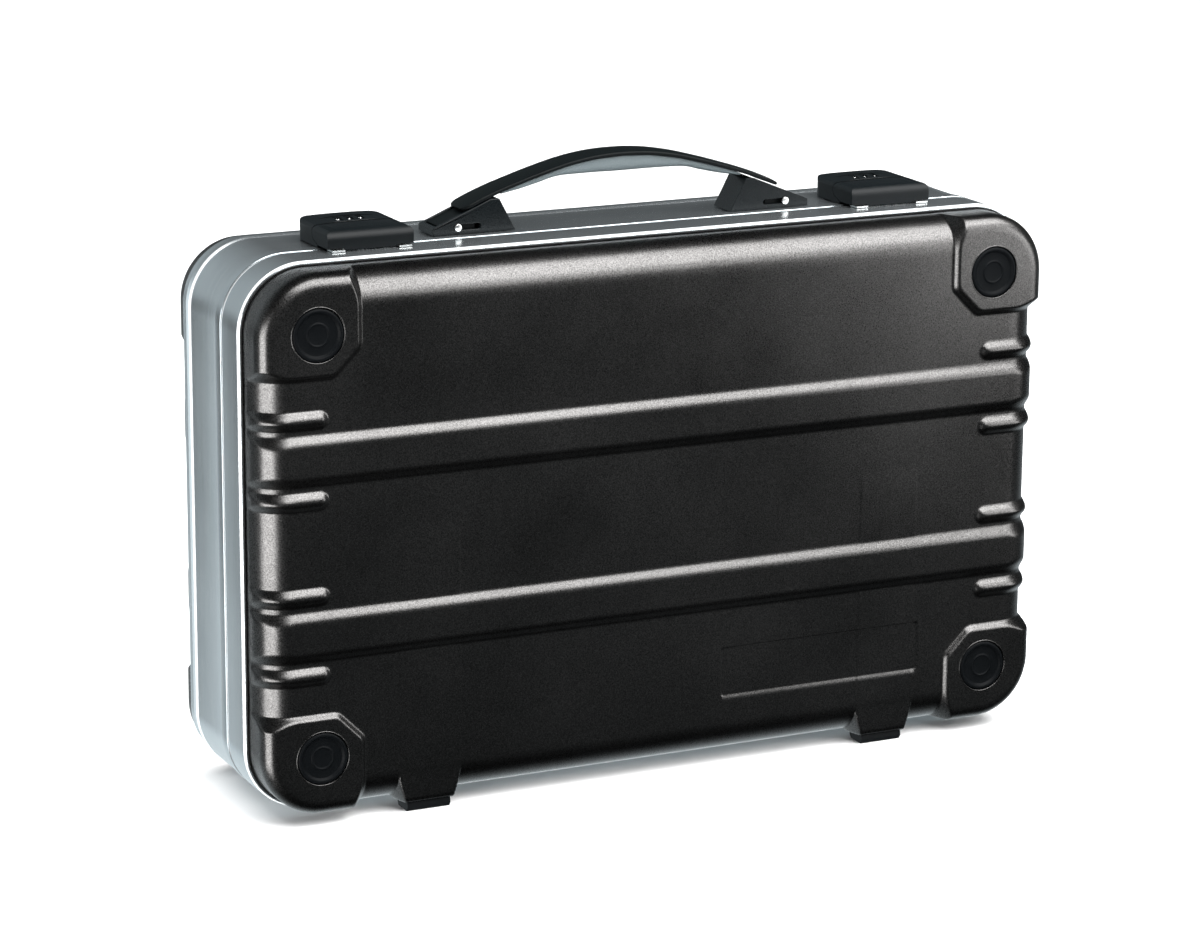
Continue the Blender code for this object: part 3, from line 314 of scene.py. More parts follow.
def surface(
    name, metallic, dark, light, rough, grain, bump, edge=None, stretch=(1.0, 1.0, 1.0), speck=0.0, gloss=0.16
):
    """A finish with broad and fine variation. rough is a (low, high) pair, grain the fine noise's scale,
    bump a (strength, distance) pair and edge an optional (colour, low, high) of rubbed edges. speck is
    the share of fine bright sparkle and gloss the specular level of a finish that is not metal."""
    made, tree, shader = graph(name, metallic)
    plain = place_coords(tree)
    fine = noise(tree, place_coords(tree, stretch), grain, 5.0, 0.65)
    broad = noise(tree, plain, 14.0, 3.0, 0.5)
    both = summed(tree, fine, broad, 0.5)
    colour = mixed(tree, spread(tree, both, 0.55, 0.95, 0.0, 1.0), dark, light)
    if speck:
        sparkle = spread(tree, noise(tree, plain, grain, 2.0, 0.5), 0.38, 0.66, 1.0 - speck, 1.0 + speck)
        colour = tinted(tree, colour, sparkle)
    if edge:
        colour = mixed(tree, worn_edges(tree, edge[1], edge[2]), colour, edge[0])
    tree.links.new(colour, shader.inputs["Base Color"])
    tree.links.new(spread(tree, both, 0.5, 1.0, rough[0], rough[1]), shader.inputs["Roughness"])
    bumped(tree, shader, fine, bump[0], bump[1])
    if metallic < 0.5:
        shader.inputs["Specular IOR Level"].default_value = gloss
    return made


def pale_lines(made, stations):
    """Paint highlights on a metal finish as pale bands between (low, high) stations in Y, where the frame
    bevels catch the light. Each band has its own share on top, dimmed there because the top catches less
    light.
    """
    tree = made.node_tree
    shader = tree.nodes["Principled BSDF"]
    coords = node(tree, "ShaderNodeTexCoord")
    parts = node(tree, "ShaderNodeSeparateXYZ")
    tree.links.new(coords.outputs["Object"], parts.inputs["Vector"])
    share = None
    for low, high, top_share in stations:
        rise = spread(tree, parts.outputs["Y"], low - HIGHLIGHT_SOFT, low + HIGHLIGHT_SOFT, 0.0, 1.0)
        fall = spread(tree, parts.outputs["Y"], high - HIGHLIGHT_SOFT, high + HIGHLIGHT_SOFT, 1.0, 0.0)
        # painted highlight fades towards the frame top, where less light is caught
        upward = spread(tree, parts.outputs["Z"], FRAME_TOP - HIGHLIGHT_FADE, FRAME_TOP, 1.0, top_share)
        band = product(tree, product(tree, rise, fall), upward)
        share = summed(tree, share, band, 1.0) if share else band
    colour = shader.inputs["Base Color"].links[0].from_socket
    tree.links.new(mixed(tree, share, colour, HIGHLIGHT_COLOUR), shader.inputs["Base Color"])
    metallic = shader.inputs["Metallic"]
    tree.links.new(spread(tree, share, 0.0, 1.0, metallic.default_value, HIGHLIGHT_METALLIC), metallic)
    return made


def silver(name):
    return surface(
        name, 0.94, (0.43, 0.47, 0.49), (0.56, 0.60, 0.62), (0.17, 0.25), 1.0, (0.25, 0.00006),
        ((0.75, 0.77, 0.78), 0.54, 0.66), (12.0, 3200.0, 12.0),
    )


def build_materials():
    return {
        "shell": surface(
            "anodised_dark_grain", 1.0, (0.062, 0.0605, 0.0595), (0.108, 0.1055, 0.104), (0.25, 0.33),
            1400.0, (0.28, 0.0001), speck=0.22,
        ),
        # frame finish with painted highlights: pale bands on the bevels stand in for the light caught there
        "frame": pale_lines(silver("anodised_silver_painted_highlights"), (FRONT_HIGHLIGHT, PARTING_HIGHLIGHT, RIDGE_HIGHLIGHT)),
        "lock_plastic": surface(
            "black_moulded_plastic", 0.0, (0.0018, 0.0026, 0.0030), (0.0034, 0.0048, 0.0056), (0.36, 0.46),
            1500.0, (0.25, 0.00006), gloss=0.15,
        ),
        "mount_plastic": surface(
            "black_glossy_moulding", 0.0, (0.0022, 0.0034, 0.0040), (0.0036, 0.0052, 0.0060), (0.24, 0.32),
            1500.0, (0.2, 0.00005), gloss=0.24,
        ),
        "rubber": surface(
            "black_rubber", 0.0, (0.0010, 0.0014, 0.0018), (0.0022, 0.0028, 0.0034), (0.42, 0.55),
            1800.0, (0.35, 0.00008), ((0.06, 0.066, 0.07), 0.54, 0.62), gloss=0.06,
        ),
        "foot": surface(
            "black_foot_rubber", 0.0, (0.0012, 0.0018, 0.0022), (0.0026, 0.0034, 0.0040), (0.42, 0.55),
            1800.0, (0.35, 0.00008), gloss=0.12,
        ),
        "strap": surface(
            "black_grained_strap", 0.0, (0.0012, 0.0019, 0.0021), (0.0026, 0.0038, 0.0041), (0.40, 0.50),
            1300.0, (0.5, 0.00012), gloss=0.10,
        ),
        "grip": surface(
            "grey_soft_grip", 0.0, (0.085, 0.105, 0.110), (0.115, 0.135, 0.142), (0.42, 0.55),
            1600.0, (0.3, 0.00008),
        ),
        "steel": surface(
            "bright_steel", 1.0, (0.62, 0.62, 0.61), (0.78, 0.78, 0.77), (0.20, 0.32),
            1.0, (0.2, 0.00004), None, (1500.0, 60.0, 60.0),
        ),
        "dial": surface(
            "dial_black", 0.0, (0.012, 0.012, 0.013), (0.022, 0.022, 0.023), (0.36, 0.46),
            1800.0, (0.2, 0.00005),
        ),
        "digits": surface(
            "dial_digit_white", 0.0, (0.80, 0.80, 0.79), (0.88, 0.88, 0.87), (0.45, 0.55),
            1800.0, (0.1, 0.00003),
        ),
        "lining": surface(
            "grey_pile_lining", 0.0, (0.088, 0.088, 0.093), (0.112, 0.112, 0.117), (0.80, 0.95),
            1400.0, (0.8, 0.0003),
        ),
        "gasket": surface(
            "black_gasket", 0.0, (0.012, 0.012, 0.012), (0.020, 0.020, 0.020), (0.55, 0.70),
            1600.0, (0.3, 0.00008),
        ),
    }


# -------- mesh helpers --------


def placed(name, data):
    obj = bpy.data.objects.new(name, data)
    bpy.context.scene.collection.objects.link(obj)
    return obj


def baked(obj):
    """The object's mesh with its modifiers applied. The object itself is removed."""
    graph_now = bpy.context.evaluated_depsgraph_get()
    mesh = bpy.data.meshes.new_from_object(obj.evaluated_get(graph_now))
    bpy.data.objects.remove(obj, do_unlink=True)
    return mesh


def register(name, mesh, paint, body, nodes, sharp=35.0):
    mesh.materials.clear()
    mesh.materials.append(paint)
    mesh.shade_smooth()
    mesh.set_sharp_from_angle(angle=math.radians(sharp))
    obj = placed(name, mesh)
    if body:
        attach(obj, body)
    if nodes:
        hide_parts(*nodes)
    return obj


def mesh_from(name, bm):
    bmesh.ops.remove_doubles(bm, verts=bm.verts, dist=1e-6)
    bmesh.ops.recalc_face_normals(bm, faces=bm.faces)
    mesh = bpy.data.meshes.new(name)
    bm.to_mesh(mesh)
    bm.free()
    return mesh


def combined(mesh, steps):
    """The mesh after a list of (operation, helper) Booleans. The helpers are removed."""
    obj = placed("boolean_work", mesh)
    for operation, other in steps:
        step = obj.modifiers.new(operation.title(), "BOOLEAN")
        step.operation = operation
        step.solver = "EXACT"
        step.object = other
    result = baked(obj)
    for _, other in steps:
        bpy.data.objects.remove(other, do_unlink=True)
    return result


def soften(obj, width, segments=3, angle=40.0):
    step = obj.modifiers.new("edge_round", "BEVEL")
    step.width = width
    step.segments = segments
    step.limit_method = "ANGLE"
    step.angle_limit = math.radians(angle)
    step.harden_normals = True


def rounded(points, steps=4):
    """A closed outline from (a, b, radius) corners, each turned into an arc."""
    outline = []
    count = len(points)
    for i, (a, b, radius) in enumerate(points):
        corner = Vector((a, b))
        back = Vector(points[i - 1][:2]) - corner
        ahead = Vector(points[(i + 1) % count][:2]) - corner
        angle = back.angle(ahead)
        if radius <= 0 or angle > math.radians(178):
            outline.append((a, b))
            continue
        cut = min(radius / math.tan(angle / 2), 0.49 * back.length, 0.49 * ahead.length)
        radius = cut * math.tan(angle / 2)
        bisector = (back.normalized() + ahead.normalized()).normalized()
        centre = corner + bisector * (radius / math.sin(angle / 2))
        first = corner + back.normalized() * cut - centre
        last = corner + ahead.normalized() * cut - centre
        start = math.atan2(first.y, first.x)
        turn = (math.atan2(last.y, last.x) - start + math.pi) % (2 * math.pi) - math.pi
        for k in range(steps + 1):
            at = start + turn * k / steps
            outline.append((centre.x + radius * math.cos(at), centre.y + radius * math.sin(at)))
    return outline


def arc(centre, radius, start, end, steps):
    """Points round a centre between two angles in degrees. An (a, b) pair as radius gives an ellipse."""
    wide, tall = radius if isinstance(radius, tuple) else (radius, radius)
    points = []
    for k in range(steps + 1):
        angle = math.radians(start + (end - start) * k / steps)
        points.append((centre[0] + wide * math.cos(angle), centre[1] + tall * math.sin(angle)))
    return points


def box_outline(a_span, b_span):
    return [(a_span[0], b_span[0]), (a_span[1], b_span[0]), (a_span[1], b_span[1]), (a_span[0], b_span[1])]


def about(centre, half):
    return (centre - half, centre + half)


def in_mm(rows):
    return [tuple(value * MM for value in row) for row in rows]


def prism_mesh(name, outline, axis, low, high):
    """Extrude an outline of (Y, Z), (X, Z) or (X, Y) pairs along X, Y or Z."""
    bm = bmesh.new()
    rings = []
    for depth in (low, high):
        if axis == "X":
            rings.append([bm.verts.new((depth, a, b)) for a, b in outline])
        elif axis == "Y":
            rings.append([bm.verts.new((a, depth, b)) for a, b in outline])
        else:
            rings.append([bm.verts.new((a, b, depth)) for a, b in outline])
    count = len(outline)
    for i in range(count):
        j = (i + 1) % count
        bm.faces.new((rings[0][i], rings[0][j], rings[1][j], rings[1][i]))
    bm.faces.new(rings[0][::-1])
    bm.faces.new(rings[1])
    return mesh_from(name, bm)


def prism_helper(name, outline, axis, low, high):
    """A cutter or a part of a union, removed once it has been used."""
    return placed(name, prism_mesh(name, outline, axis, low, high))


def lathe_mesh(name, profile, centre, segments, capped=True):
    """Turn (radius, distance along) pairs round a line along Y, with flat caps on open ends."""
    bm = bmesh.new()
    rings = []
    for radius, along in profile:
        ring = []
        for k in range(segments):
            angle = 2 * math.pi * k / segments
            side = radius * math.cos(angle)
            rise = radius * math.sin(angle)
            ring.append(bm.verts.new((centre[0] + side, centre[1] + along, centre[2] + rise)))
        rings.append(ring)
    for first, second in zip(rings, rings[1:]):
        for k in range(segments):
            m = (k + 1) % segments
            bm.faces.new((first[k], first[m], second[m], second[k]))
    if capped and profile[0][0] > 0:
        bm.faces.new(rings[0])
    if capped and profile[-1][0] > 0:
        bm.faces.new(rings[-1])
    bmesh.ops.remove_doubles(bm, verts=bm.verts, dist=1e-7)
    return mesh_from(name, bm)


def add_loft(bm, rings, closed_ends=True):
    made = [[bm.verts.new(p) for p in ring] for ring in rings]
    count = len(made[0])
    for first, second in zip(made, made[1:]):
        for k in range(count):
            m = (k + 1) % count
            bm.faces.new((first[k], first[m], second[m], second[k]))
    if closed_ends:
        bm.faces.new(made[0][::-1])
        bm.faces.new(made[-1])


def outline_stations(half_w, half_h, radius, xs, zs, arc_steps):
    """Points round the inner rectangle of a rounded outline, each with its outward direction."""
    core_x = half_w - radius
    core_z = half_h - radius
    stations = []
    sides = (
        ([(x, core_z) for x in xs], (0.0, 1.0), (core_x, core_z), 90),
        ([(core_x, z) for z in reversed(zs)], (1.0, 0.0), (core_x, -core_z), 0),
        ([(x, -core_z) for x in reversed(xs)], (0.0, -1.0), (-core_x, -core_z), -90),
        ([(-core_x, z) for z in zs], (-1.0, 0.0), (-core_x, core_z), -180),
    )
    for points, direction, corner, start in sides:
        for point in points:
            stations.append((point, direction))
        for k in range(1, arc_steps):
            angle = math.radians(start - 90 * k / arc_steps)
            stations.append((corner, (math.cos(angle), math.sin(angle))))
    return stations


def case_stations():
    across = about(0.0, HALF_W - CORNER_R)
    upward = about(0.0, HALF_H - CORNER_R)
    return outline_stations(HALF_W, HALF_H, CORNER_R, across, upward, CORNER_STEPS)


def ring_mesh(name, profile):
    """Sweep a closed (inset, Y) profile round the case outline."""
    bm = bmesh.new()
    rings = []
    for point, direction in case_stations():
        ring = []
        for inset, y in profile:
            reach = CORNER_R - inset
            ring.append((point[0] + reach * direction[0], y, point[1] + reach * direction[1] + CENTRE_Z))
        rings.append(ring)
    rings.append(rings[0])
    add_loft(bm, rings, closed_ends=False)
    return mesh_from(name, bm)


# -------- drawn shells --------


def soft_min(a, b, reach):
    share = np.clip(0.5 + 0.5 * (b - a) / reach, 0.0, 1.0)
    return b + (a - b) * share - reach * share * (1 - share)


def soft_max(a, b, reach):
    return -soft_min(-a, -b, reach)


def boxed_reach(angle, side, front, corner_r):
    """Distance along a ray to a box corner whose walls are this far off to the side and the front."""
    low = 0.0
    high = side + front
    for _ in range(40):
        middle = (low + high) / 2
        across = middle * math.cos(angle) - (side - corner_r)
        out = middle * math.sin(angle) - (front - corner_r)
        if across > 0 and out > 0:
            inside = math.hypot(across, out) <= corner_r
        else:
            inside = across <= corner_r and out <= corner_r
        if inside:
            low = middle
        else:
            high = middle
    return low


def relief(x, z, angle, edge_r, rise, front_side):
    """Heights of the pressed relief over the plain shell, for points at one angle of the edge."""
    pad_top = boxed_reach(angle, edge_r, edge_r + rise, PAD_ROUND * edge_r) - edge_r
    rib_top = boxed_reach(angle, edge_r, edge_r + rise, RIB_ROUND * edge_r) - edge_r
    ax = np.abs(x)
    az = np.abs(z)
    across = ax - PAD_X
    up = az - PAD_Z
    diagonal = (across + up - PAD_CUT) * math.sin(math.radians(45))
    depth = soft_min(soft_min(across, up, PAD_BLEND), diagonal, PAD_BLEND)
    total = soft_min(np.full_like(x, pad_top), PAD_SLOPE * depth, PAD_TOP_BLEND)
    rib_depth = RIB_HALF - np.abs(az - RIB_Z)
    rib = soft_min(np.full_like(x, rib_top), rise / RIB_BEVEL * rib_depth, RIB_BLEND)
    total = np.maximum(total, rib)
    if front_side:
        for offset in (-FINGER_OFFSET, FINGER_OFFSET):
            dx = np.maximum(0.0, FINGER_TIP + FINGER_HALF - ax)
            depth = FINGER_HALF - np.hypot(dx, az - RIB_Z - offset)
            finger = soft_min(np.full_like(x, rib_top), rise / FINGER_BEVEL * depth, FINGER_BLEND)
            total = np.maximum(total, finger)
        tab_top = boxed_reach(angle, edge_r + TAB_DROP, edge_r, TAB_EDGE_R) - edge_r
        tab_top = min(tab_top, TAB_RAMP * (angle - TAB_START))
        tab_depth = np.where(z > 0, -1.0, TAB_HALF - np.abs(ax - FOOT_X))
        tab = soft_min(np.full_like(x, tab_top), TAB_SLOPE * tab_depth, TAB_BLEND)
        total = np.maximum(total, tab)
    total = soft_max(total, np.zeros_like(x), GROUND_BLEND)
    if front_side and angle > PLATE_MIN_ANGLE:
        px = (PLATE_X[1] - PLATE_X[0]) / 2 - np.abs(x - (PLATE_X[0] + PLATE_X[1]) / 2)
        pz = (PLATE_Z[1] - PLATE_Z[0]) / 2 - np.abs(z - (PLATE_Z[0] + PLATE_Z[1]) / 2)
        corner = PLATE_CORNER
        outside = np.hypot(np.maximum(corner - px, 0.0), np.maximum(corner - pz, 0.0))
        depth = corner - np.where((px > corner) & (pz > corner), corner - np.minimum(px, pz), outside)
        total = total - np.clip(PLATE_SLOPE * depth, 0.0, PLATE_DEPTH)
    return total


def grid_lines(limit, spans):
    """Symmetric positions up to the limit from (start, step) spans of the positive half."""
    values = []
    for i, (start, step) in enumerate(spans):
        end = spans[i + 1][0] if i + 1 < len(spans) else limit / MM
        count = max(1, round((end - start) / step))
        values += [(start + (end - start) * k / count) * MM for k in range(count)]
    values.append(limit)
    return [-v for v in reversed(values[1:])] + values


def shell_mesh(name, wall_inset, start_y, panel_y, pad_y, edge_r, front_side, x_spans, z_spans):
    half_w = HALF_W - wall_inset
    half_h = HALF_H - wall_inset
    radius = CORNER_R - wall_inset
    toward = 1.0 if panel_y > start_y else -1.0
    rise = abs(pad_y - panel_y)
    round_y = panel_y - toward * edge_r
    xs = grid_lines(half_w - radius, x_spans)
    zs = grid_lines(half_h - radius, z_spans)
    stations = outline_stations(half_w, half_h, radius, xs, zs, CORNER_STEPS)
    count = len(stations)
    points = np.array([p for p, _ in stations])
    ways = np.array([d for _, d in stations])
    edge_steps = LID_EDGE_STEPS if front_side else BASE_EDGE_STEPS
    profile = [(0.0, start_y, 0.0), (0.0, (start_y + round_y) / 2, 0.0), (0.0, round_y, 0.0)]
    for k in range(1, edge_steps + 1):
        angle = math.pi / 2 * k / edge_steps
        inset = edge_r * (1 - math.cos(angle))
        profile.append((inset, round_y + toward * edge_r * math.sin(angle), angle))
    for k in range(1, RIM_STEPS + 1):
        profile.append((edge_r + (radius - edge_r) * k / RIM_STEPS, panel_y, math.pi / 2))

    def ring(inset, y, angle, lift):
        reach = radius - inset
        x = points[:, 0] + reach * ways[:, 0]
        z = points[:, 1] + reach * ways[:, 1]
        height = lift if lift is not None else relief(x, z, angle, edge_r, rise, front_side)
        out = height * math.cos(angle)
        depth = y + toward * height * math.sin(angle)
        return np.stack([x + out * ways[:, 0], depth + 0 * x, z + out * ways[:, 1] + CENTRE_Z], axis=1)

    rings = [ring(inset, y, angle, None) for inset, y, angle in profile]
    skin = np.full(count, -SHEET)
    inner = [ring(0.0, start_y, 0.0, skin), ring(0.0, round_y, 0.0, skin)]
    for k in range(1, RIM_STEPS + 1):
        angle = math.pi / (2 * RIM_STEPS) * k
        inset = edge_r * (1 - math.cos(angle))
        inner.append(ring(inset, round_y + toward * edge_r * math.sin(angle), angle, skin))
    rings = inner[::-1] + rings
    gx, gz = np.meshgrid(np.array(xs), np.array(zs))
    height = relief(gx.ravel(), gz.ravel(), math.pi / 2, edge_r, rise, front_side)
    grid = np.stack([gx.ravel(), panel_y + toward * height, gz.ravel() + CENTRE_Z], axis=1)
    verts = np.concatenate(rings + [grid])
    faces = []
    for i in range(len(rings) - 1):
        for k in range(count):
            m = (k + 1) % count
            faces.append((i * count + k, i * count + m, (i + 1) * count + m, (i + 1) * count + k))
    start = len(rings) * count
    across = len(xs)
    for j in range(len(zs) - 1):
        for i in range(across - 1):
            a = start + j * across + i
            faces.append((a, a + 1, a + across + 1, a + across))
    faces.append(tuple(range(count)))
    mesh = bpy.data.meshes.new(name)
    mesh.from_pydata(verts.tolist(), [], faces)
    bm = bmesh.new()
    bm.from_mesh(mesh)
    bmesh.ops.remove_doubles(bm, verts=bm.verts, dist=2e-6)
    bmesh.ops.dissolve_degenerate(bm, edges=bm.edges, dist=1e-6)
    bmesh.ops.recalc_face_normals(bm, faces=bm.faces)
    bm.to_mesh(mesh)
    bm.free()
    steps = []
    for _, x, z in BUTTONS:
        hole = [(BUTTON_HOLE_R, along) for along in about(0.0, 12 * MM)]
        cutter = lathe_mesh("button_hole", hole, (x, pad_y, z), ROUND_STEPS)
        steps.append(("DIFFERENCE", placed("button_hole", cutter)))
    return combined(mesh, steps)


def build_shells(paint):
    x_lid = ((0, 6), (35, 0.5), (39, 8), (124, 0.7), (168.6, 4), (181, 0.75))
    z_lid = ((0, 5), (20, 0.6), (34, 0.6), (80, 3), (85.5, 0.5), (89, 2), (92.5, 0.75))
    mesh = shell_mesh(
        "lid_skin", LID_WALL_INSET, LID_WALL_START, LID_PANEL, LID_PAD, LID_EDGE_R, True, x_lid, z_lid
    )
    register("lid_skin", mesh, paint["shell"], "lid", ("lid_shell",), 40.0)
    x_base = ((0, 12), (181, 0.9))
    z_base = ((0, 6), (32, 0.8), (42, 4), (57, 0.8), (66, 4), (91, 0.9))
    mesh = shell_mesh(
        "base_skin", BASE_WALL_INSET, BASE_WALL_START, BASE_PANEL, BASE_PAD, BASE_EDGE_R, False,
        x_base, z_base,
    )
    register("base_skin", mesh, paint["shell"], "case_base", ("base_shell",), 40.0)


def build_frames(paint):
    """The profiles are (inset, Y, corner radius) rows in millimetres."""
    lid_edge = (PARTING - HALF_SPLIT) / MM
    base_edge = (PARTING + HALF_SPLIT) / MM
    front = LID_FRONT / MM
    rear = BASE_REAR / MM
    lid_profile = (
        (0.6, lid_edge, 0.15), (0.0, lid_edge - 2.7, 0.3), (0.0, front + 1.6, 0.4), (1.2, front, 0.35),
        (2, front, 0.15), (2, -32.8, 0.0), (8, -32.8, 0.3), (8, -31.2, 0.3), (2, -31.2, 0.0),
        (2, -25, 0.0), (5, -25, 0.3), (5, lid_edge, 0.2), (4.2, lid_edge, 0.0),
        (4.2, lid_edge - 2.5, 0.0), (2.2, lid_edge - 2.5, 0.0), (2.2, lid_edge, 0.0),
    )
    base_profile = (
        (0.0, base_edge, 0.35), (0.0, -3.6, 0.25), (0.5, -3.0, 0.25), (0.5, 35.5, 0.25),
        (0.0, 36.2, 0.3), (0.0, 37.2, 0.5), (1.4, 45.8, 0.6), (1.4, 50.5, 0.5), (2.2, rear, 0.4),
        (3.3, rear, 0.15), (3.3, 46.0, 0.0), (9, 46.0, 0.3), (9, 44.2, 0.3), (2.8, 44.2, 0.0),
        (2.8, 1, 0.0), (5, 1, 0.3), (5, base_edge, 0.2),
    )
    gasket = (
        (2.5, lid_edge - 0.1, 0.4), (2.5, lid_edge - 2.2, 0.0),
        (3.9, lid_edge - 2.2, 0.0), (3.9, lid_edge - 0.1, 0.4),
    )
    trim = ((2.3, front + 0.2, 0.2), (2.3, -36, 0.0), (2.75, -36, 0.0), (2.75, front + 0.2, 0.2))
    for name, profile, finish, body, cad, slot, sharp in (
        ("lid_extrusion", lid_profile, "frame", "lid", "lid_frame", "frame", 30.0),
        ("base_extrusion", base_profile, "frame", "case_base", "base_frame", "frame", 30.0),
        ("lid_seal", gasket, "gasket", "lid", "lid_gasket", "rubber", 35.0),
        ("lid_trim_line", trim, "gasket", "lid", "lid_shell_trim", "shell", 35.0),
    ):
        register(name, ring_mesh(name, rounded(in_mm(profile))), paint[finish], body, (cad,), sharp)


def build_linings(paint):
    for name, inset, low, high, body, cad in (
        ("base_lining_board", 16 * MM, 55.6 * MM, 57.2 * MM, "case_base", "base_lining"),
        ("lid_lining_board", 17 * MM, -57.0 * MM, -55.4 * MM, "lid", "lid_lining"),
    ):
        reach = CORNER_R - inset
        outline = [(p[0] + reach * d[0], p[1] + reach * d[1] + CENTRE_Z) for p, d in case_stations()]
        mesh = prism_mesh(name, outline, "Y", low, high)
        soften(register(name, mesh, paint["lining"], body, (cad,)), 0.5 * MM)


def build_buttons(paint):
    """The profiles are (radius, height over the pad) rows in millimetres."""
    button = (
        (0.0, -1.25), (5.2, -1.25), (5.5, -1.20), (5.9, -0.85), (6.2, -0.75), (6.5, -0.85),
        (6.9, -1.20), (7.2, -1.25), (11.3, -1.25), (11.6, -1.18), (12.3, -0.25), (12.7, 0.06),
        (13.2, 0.16), (13.8, 0.10), (14.3, -0.18), (14.8, -0.60), (15.0, -1.00), (15.0, -5.5),
        (0.0, -5.5),
    )
    lip = (
        (15.1, -1.2), (15.1, -0.10), (15.2, 0.08), (15.4, 0.16), (15.65, 0.12), (15.85, -0.03),
        (15.9, -0.3), (15.1, -1.2),
    )
    for body, prefix, outer_y in (("lid", "lid", LID_PAD), ("case_base", "base", BASE_PAD)):
        toward = math.copysign(1.0, outer_y)
        for name, x, z in BUTTONS:
            for piece, profile, finish, cad, slot, sharp in (
                ("rubber", button, "rubber", (f"{prefix}_button_{name}",), "rubber", 50.0),
                ("hole_lip", lip, "shell", (), "shell", 60.0),
            ):
                rows = [(radius * MM, toward * height * MM) for radius, height in profile]
                title = f"{prefix}_{piece}_{name}"
                mesh = lathe_mesh(title, rows, (x, outer_y, z), ROUND_STEPS, capped=False)
                register(title, mesh, paint[finish], body, cad, sharp)


# -------- handle --------


def smooth_path(points, spacing):
    """Catmull-Rom samples through 2-D points, close to the given spacing."""
    extended = [points[0]] + list(points) + [points[-1]]
    samples = []
    for i in range(1, len(extended) - 2):
        p0, p1, p2, p3 = (Vector(extended[i + k]) for k in (-1, 0, 1, 2))
        count = max(1, round((p2 - p1).length / spacing))
        squared = 2 * p0 - 5 * p1 + 4 * p2 - p3
        cubed = 3 * p1 - p0 - 3 * p2 + p3
        for k in range(count):
            t = k / count
            samples.append(0.5 * (2 * p1 + (p2 - p0) * t + squared * t * t + cubed * t ** 3))
    samples.append(Vector(points[-1]))
    return samples


def arch(half_points):
    right = [(x * MM, FRAME_TOP + z * MM) for x, z in half_points]
    left = [(-x, z) for x, z in reversed(right[1:])]
    return left + right


def strap_section(half, thick, crown, edge):
    """(across, below the top line) pairs round a flat strap with a crowned top and rolled edges."""
    pairs = []
    for k in range(13):
        share = -1 + 2 * k / 12
        pairs.append((share * (half - edge), crown * share * share))
    for k in range(1, 5):
        angle = math.radians(22.5 * k)
        pairs.append((half - edge + edge * math.sin(angle), crown + edge * (1 - math.cos(angle))))
    pairs.append((half, thick - 0.5 * MM))
    pairs.append((half - 0.15 * MM, thick - 0.15 * MM))
    pairs.append((half - 0.5 * MM, thick))
    mirrored = [(-a, b) for a, b in reversed(pairs[13:])]
    return pairs + mirrored


def build_strap(paint):
    path = smooth_path(arch(STRAP_TOP), PATH_STEP)
    middle = len(path) // 2
    section = strap_section(STRAP_HALF, STRAP_THICK, 0.5 * MM, 0.9 * MM)
    for name, side, half in (("L", -1, path[: middle + 1]), ("R", 1, path[middle:])):
        rings = []
        for i, point in enumerate(half):
            k = i if side < 0 else middle + i
            along = (path[min(k + 1, len(path) - 1)] - path[max(k - 1, 0)]).normalized()
            down = Vector((along.y, -along.x))
            from_tip = STRAP_TOP[-1][0] * MM - abs(point.x)
            share = min(1.0, max(0.0, 1 - from_tip / STRAP_TIP))
            narrow = 1 - TIP_NARROWS * (1 - math.sqrt(1 - share * share))
            thin = 1 - TIP_THINS * share ** 3
            drop = STRAP_THICK * (1 - thin) * TIP_DROP
            ring = []
            for across, below in section:
                place = point + down * (drop + below * thin)
                ring.append((place.x, HANDLE_Y + across * narrow, place.y))
            rings.append(ring)
        bm = bmesh.new()
        add_loft(bm, rings)
        mesh = mesh_from(f"strap_half_{name}", bm)
        obj = register(mesh.name, mesh, paint["strap"], None, (), 50.0)
        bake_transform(obj)
        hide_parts("handle_strap")


def build_grip(paint):
    top = [Vector(p) for p in arch(STRAP_TOP)]
    path = smooth_path(arch(GRIP_BOTTOM), PATH_STEP)
    rings = []
    for point in path:
        k = max(i for i, p in enumerate(top[:-1]) if p.x <= point.x)
        share = (point.x - top[k].x) / (top[k + 1].x - top[k].x)
        upper = top[k].y + share * (top[k + 1].y - top[k].y) - STRAP_THICK - GAP
        depth = upper - point.y
        ring = []
        for a in range(29):
            angle = math.pi * a / 28
            across = -math.cos(angle)
            low = math.sin(angle) ** GRIP_POWER[0 if depth > GRIP_DEEP else 1]
            bulge = 1 - GRIP_PINCH * (1 - math.sin(angle)) ** 2
            ring.append((point.x, HANDLE_Y + across * GRIP_HALF * bulge, upper - depth * low))
        rings.append(ring)
    bm = bmesh.new()
    add_loft(bm, rings)
    mesh = mesh_from("grip_cushion", bm)
    obj = register("grip_cushion", mesh, paint["grip"], "handle", ("handle_grip_pad",), 60.0)


def mirrored_outline(points, side):
    return [(side * x, z) for x, z in points]


def mount_mesh(name, side):
    low = FRAME_TOP + GAP
    peak = FRAME_TOP + MOUNT_PEAK_H
    outline = rounded(
        (
            (MOUNT_OUTER_X, low, 0.0),
            (MOUNT_OUTER_X, FRAME_TOP + MOUNT_OUTER_H, 1.2 * MM),
            (MOUNT_PEAK_X, peak, 2.2 * MM),
            (MOUNT_INNER_TOP_X, peak, 1.2 * MM),
            (MOUNT_INNER_X, low, 0.0),
        ),
        6,
    )
    block = prism_mesh(name, mirrored_outline(outline, side), "Y", *about(HANDLE_Y, MOUNT_HALF_DEPTH))
    height = FRAME_TOP + HANDLE_PIN_H
    channel = box_outline(CHANNEL_X, (FRAME_TOP + CHANNEL_H, FRAME_TOP + 30 * MM))
    slot = arc((HANDLE_PIN_X, height), SLOT_HALF, -90, 90, 12)
    slot += arc((SLOT_INNER_X, height), SLOT_HALF, 90, 270, 12)
    steps = []
    for cutter, shape, half in (("channel", channel, CHANNEL_HALF), ("slot", slot, 14 * MM)):
        cut = prism_helper(cutter, mirrored_outline(shape, side), "Y", *about(HANDLE_Y, half))
        steps.append(("DIFFERENCE", cut))
    return combined(block, steps)


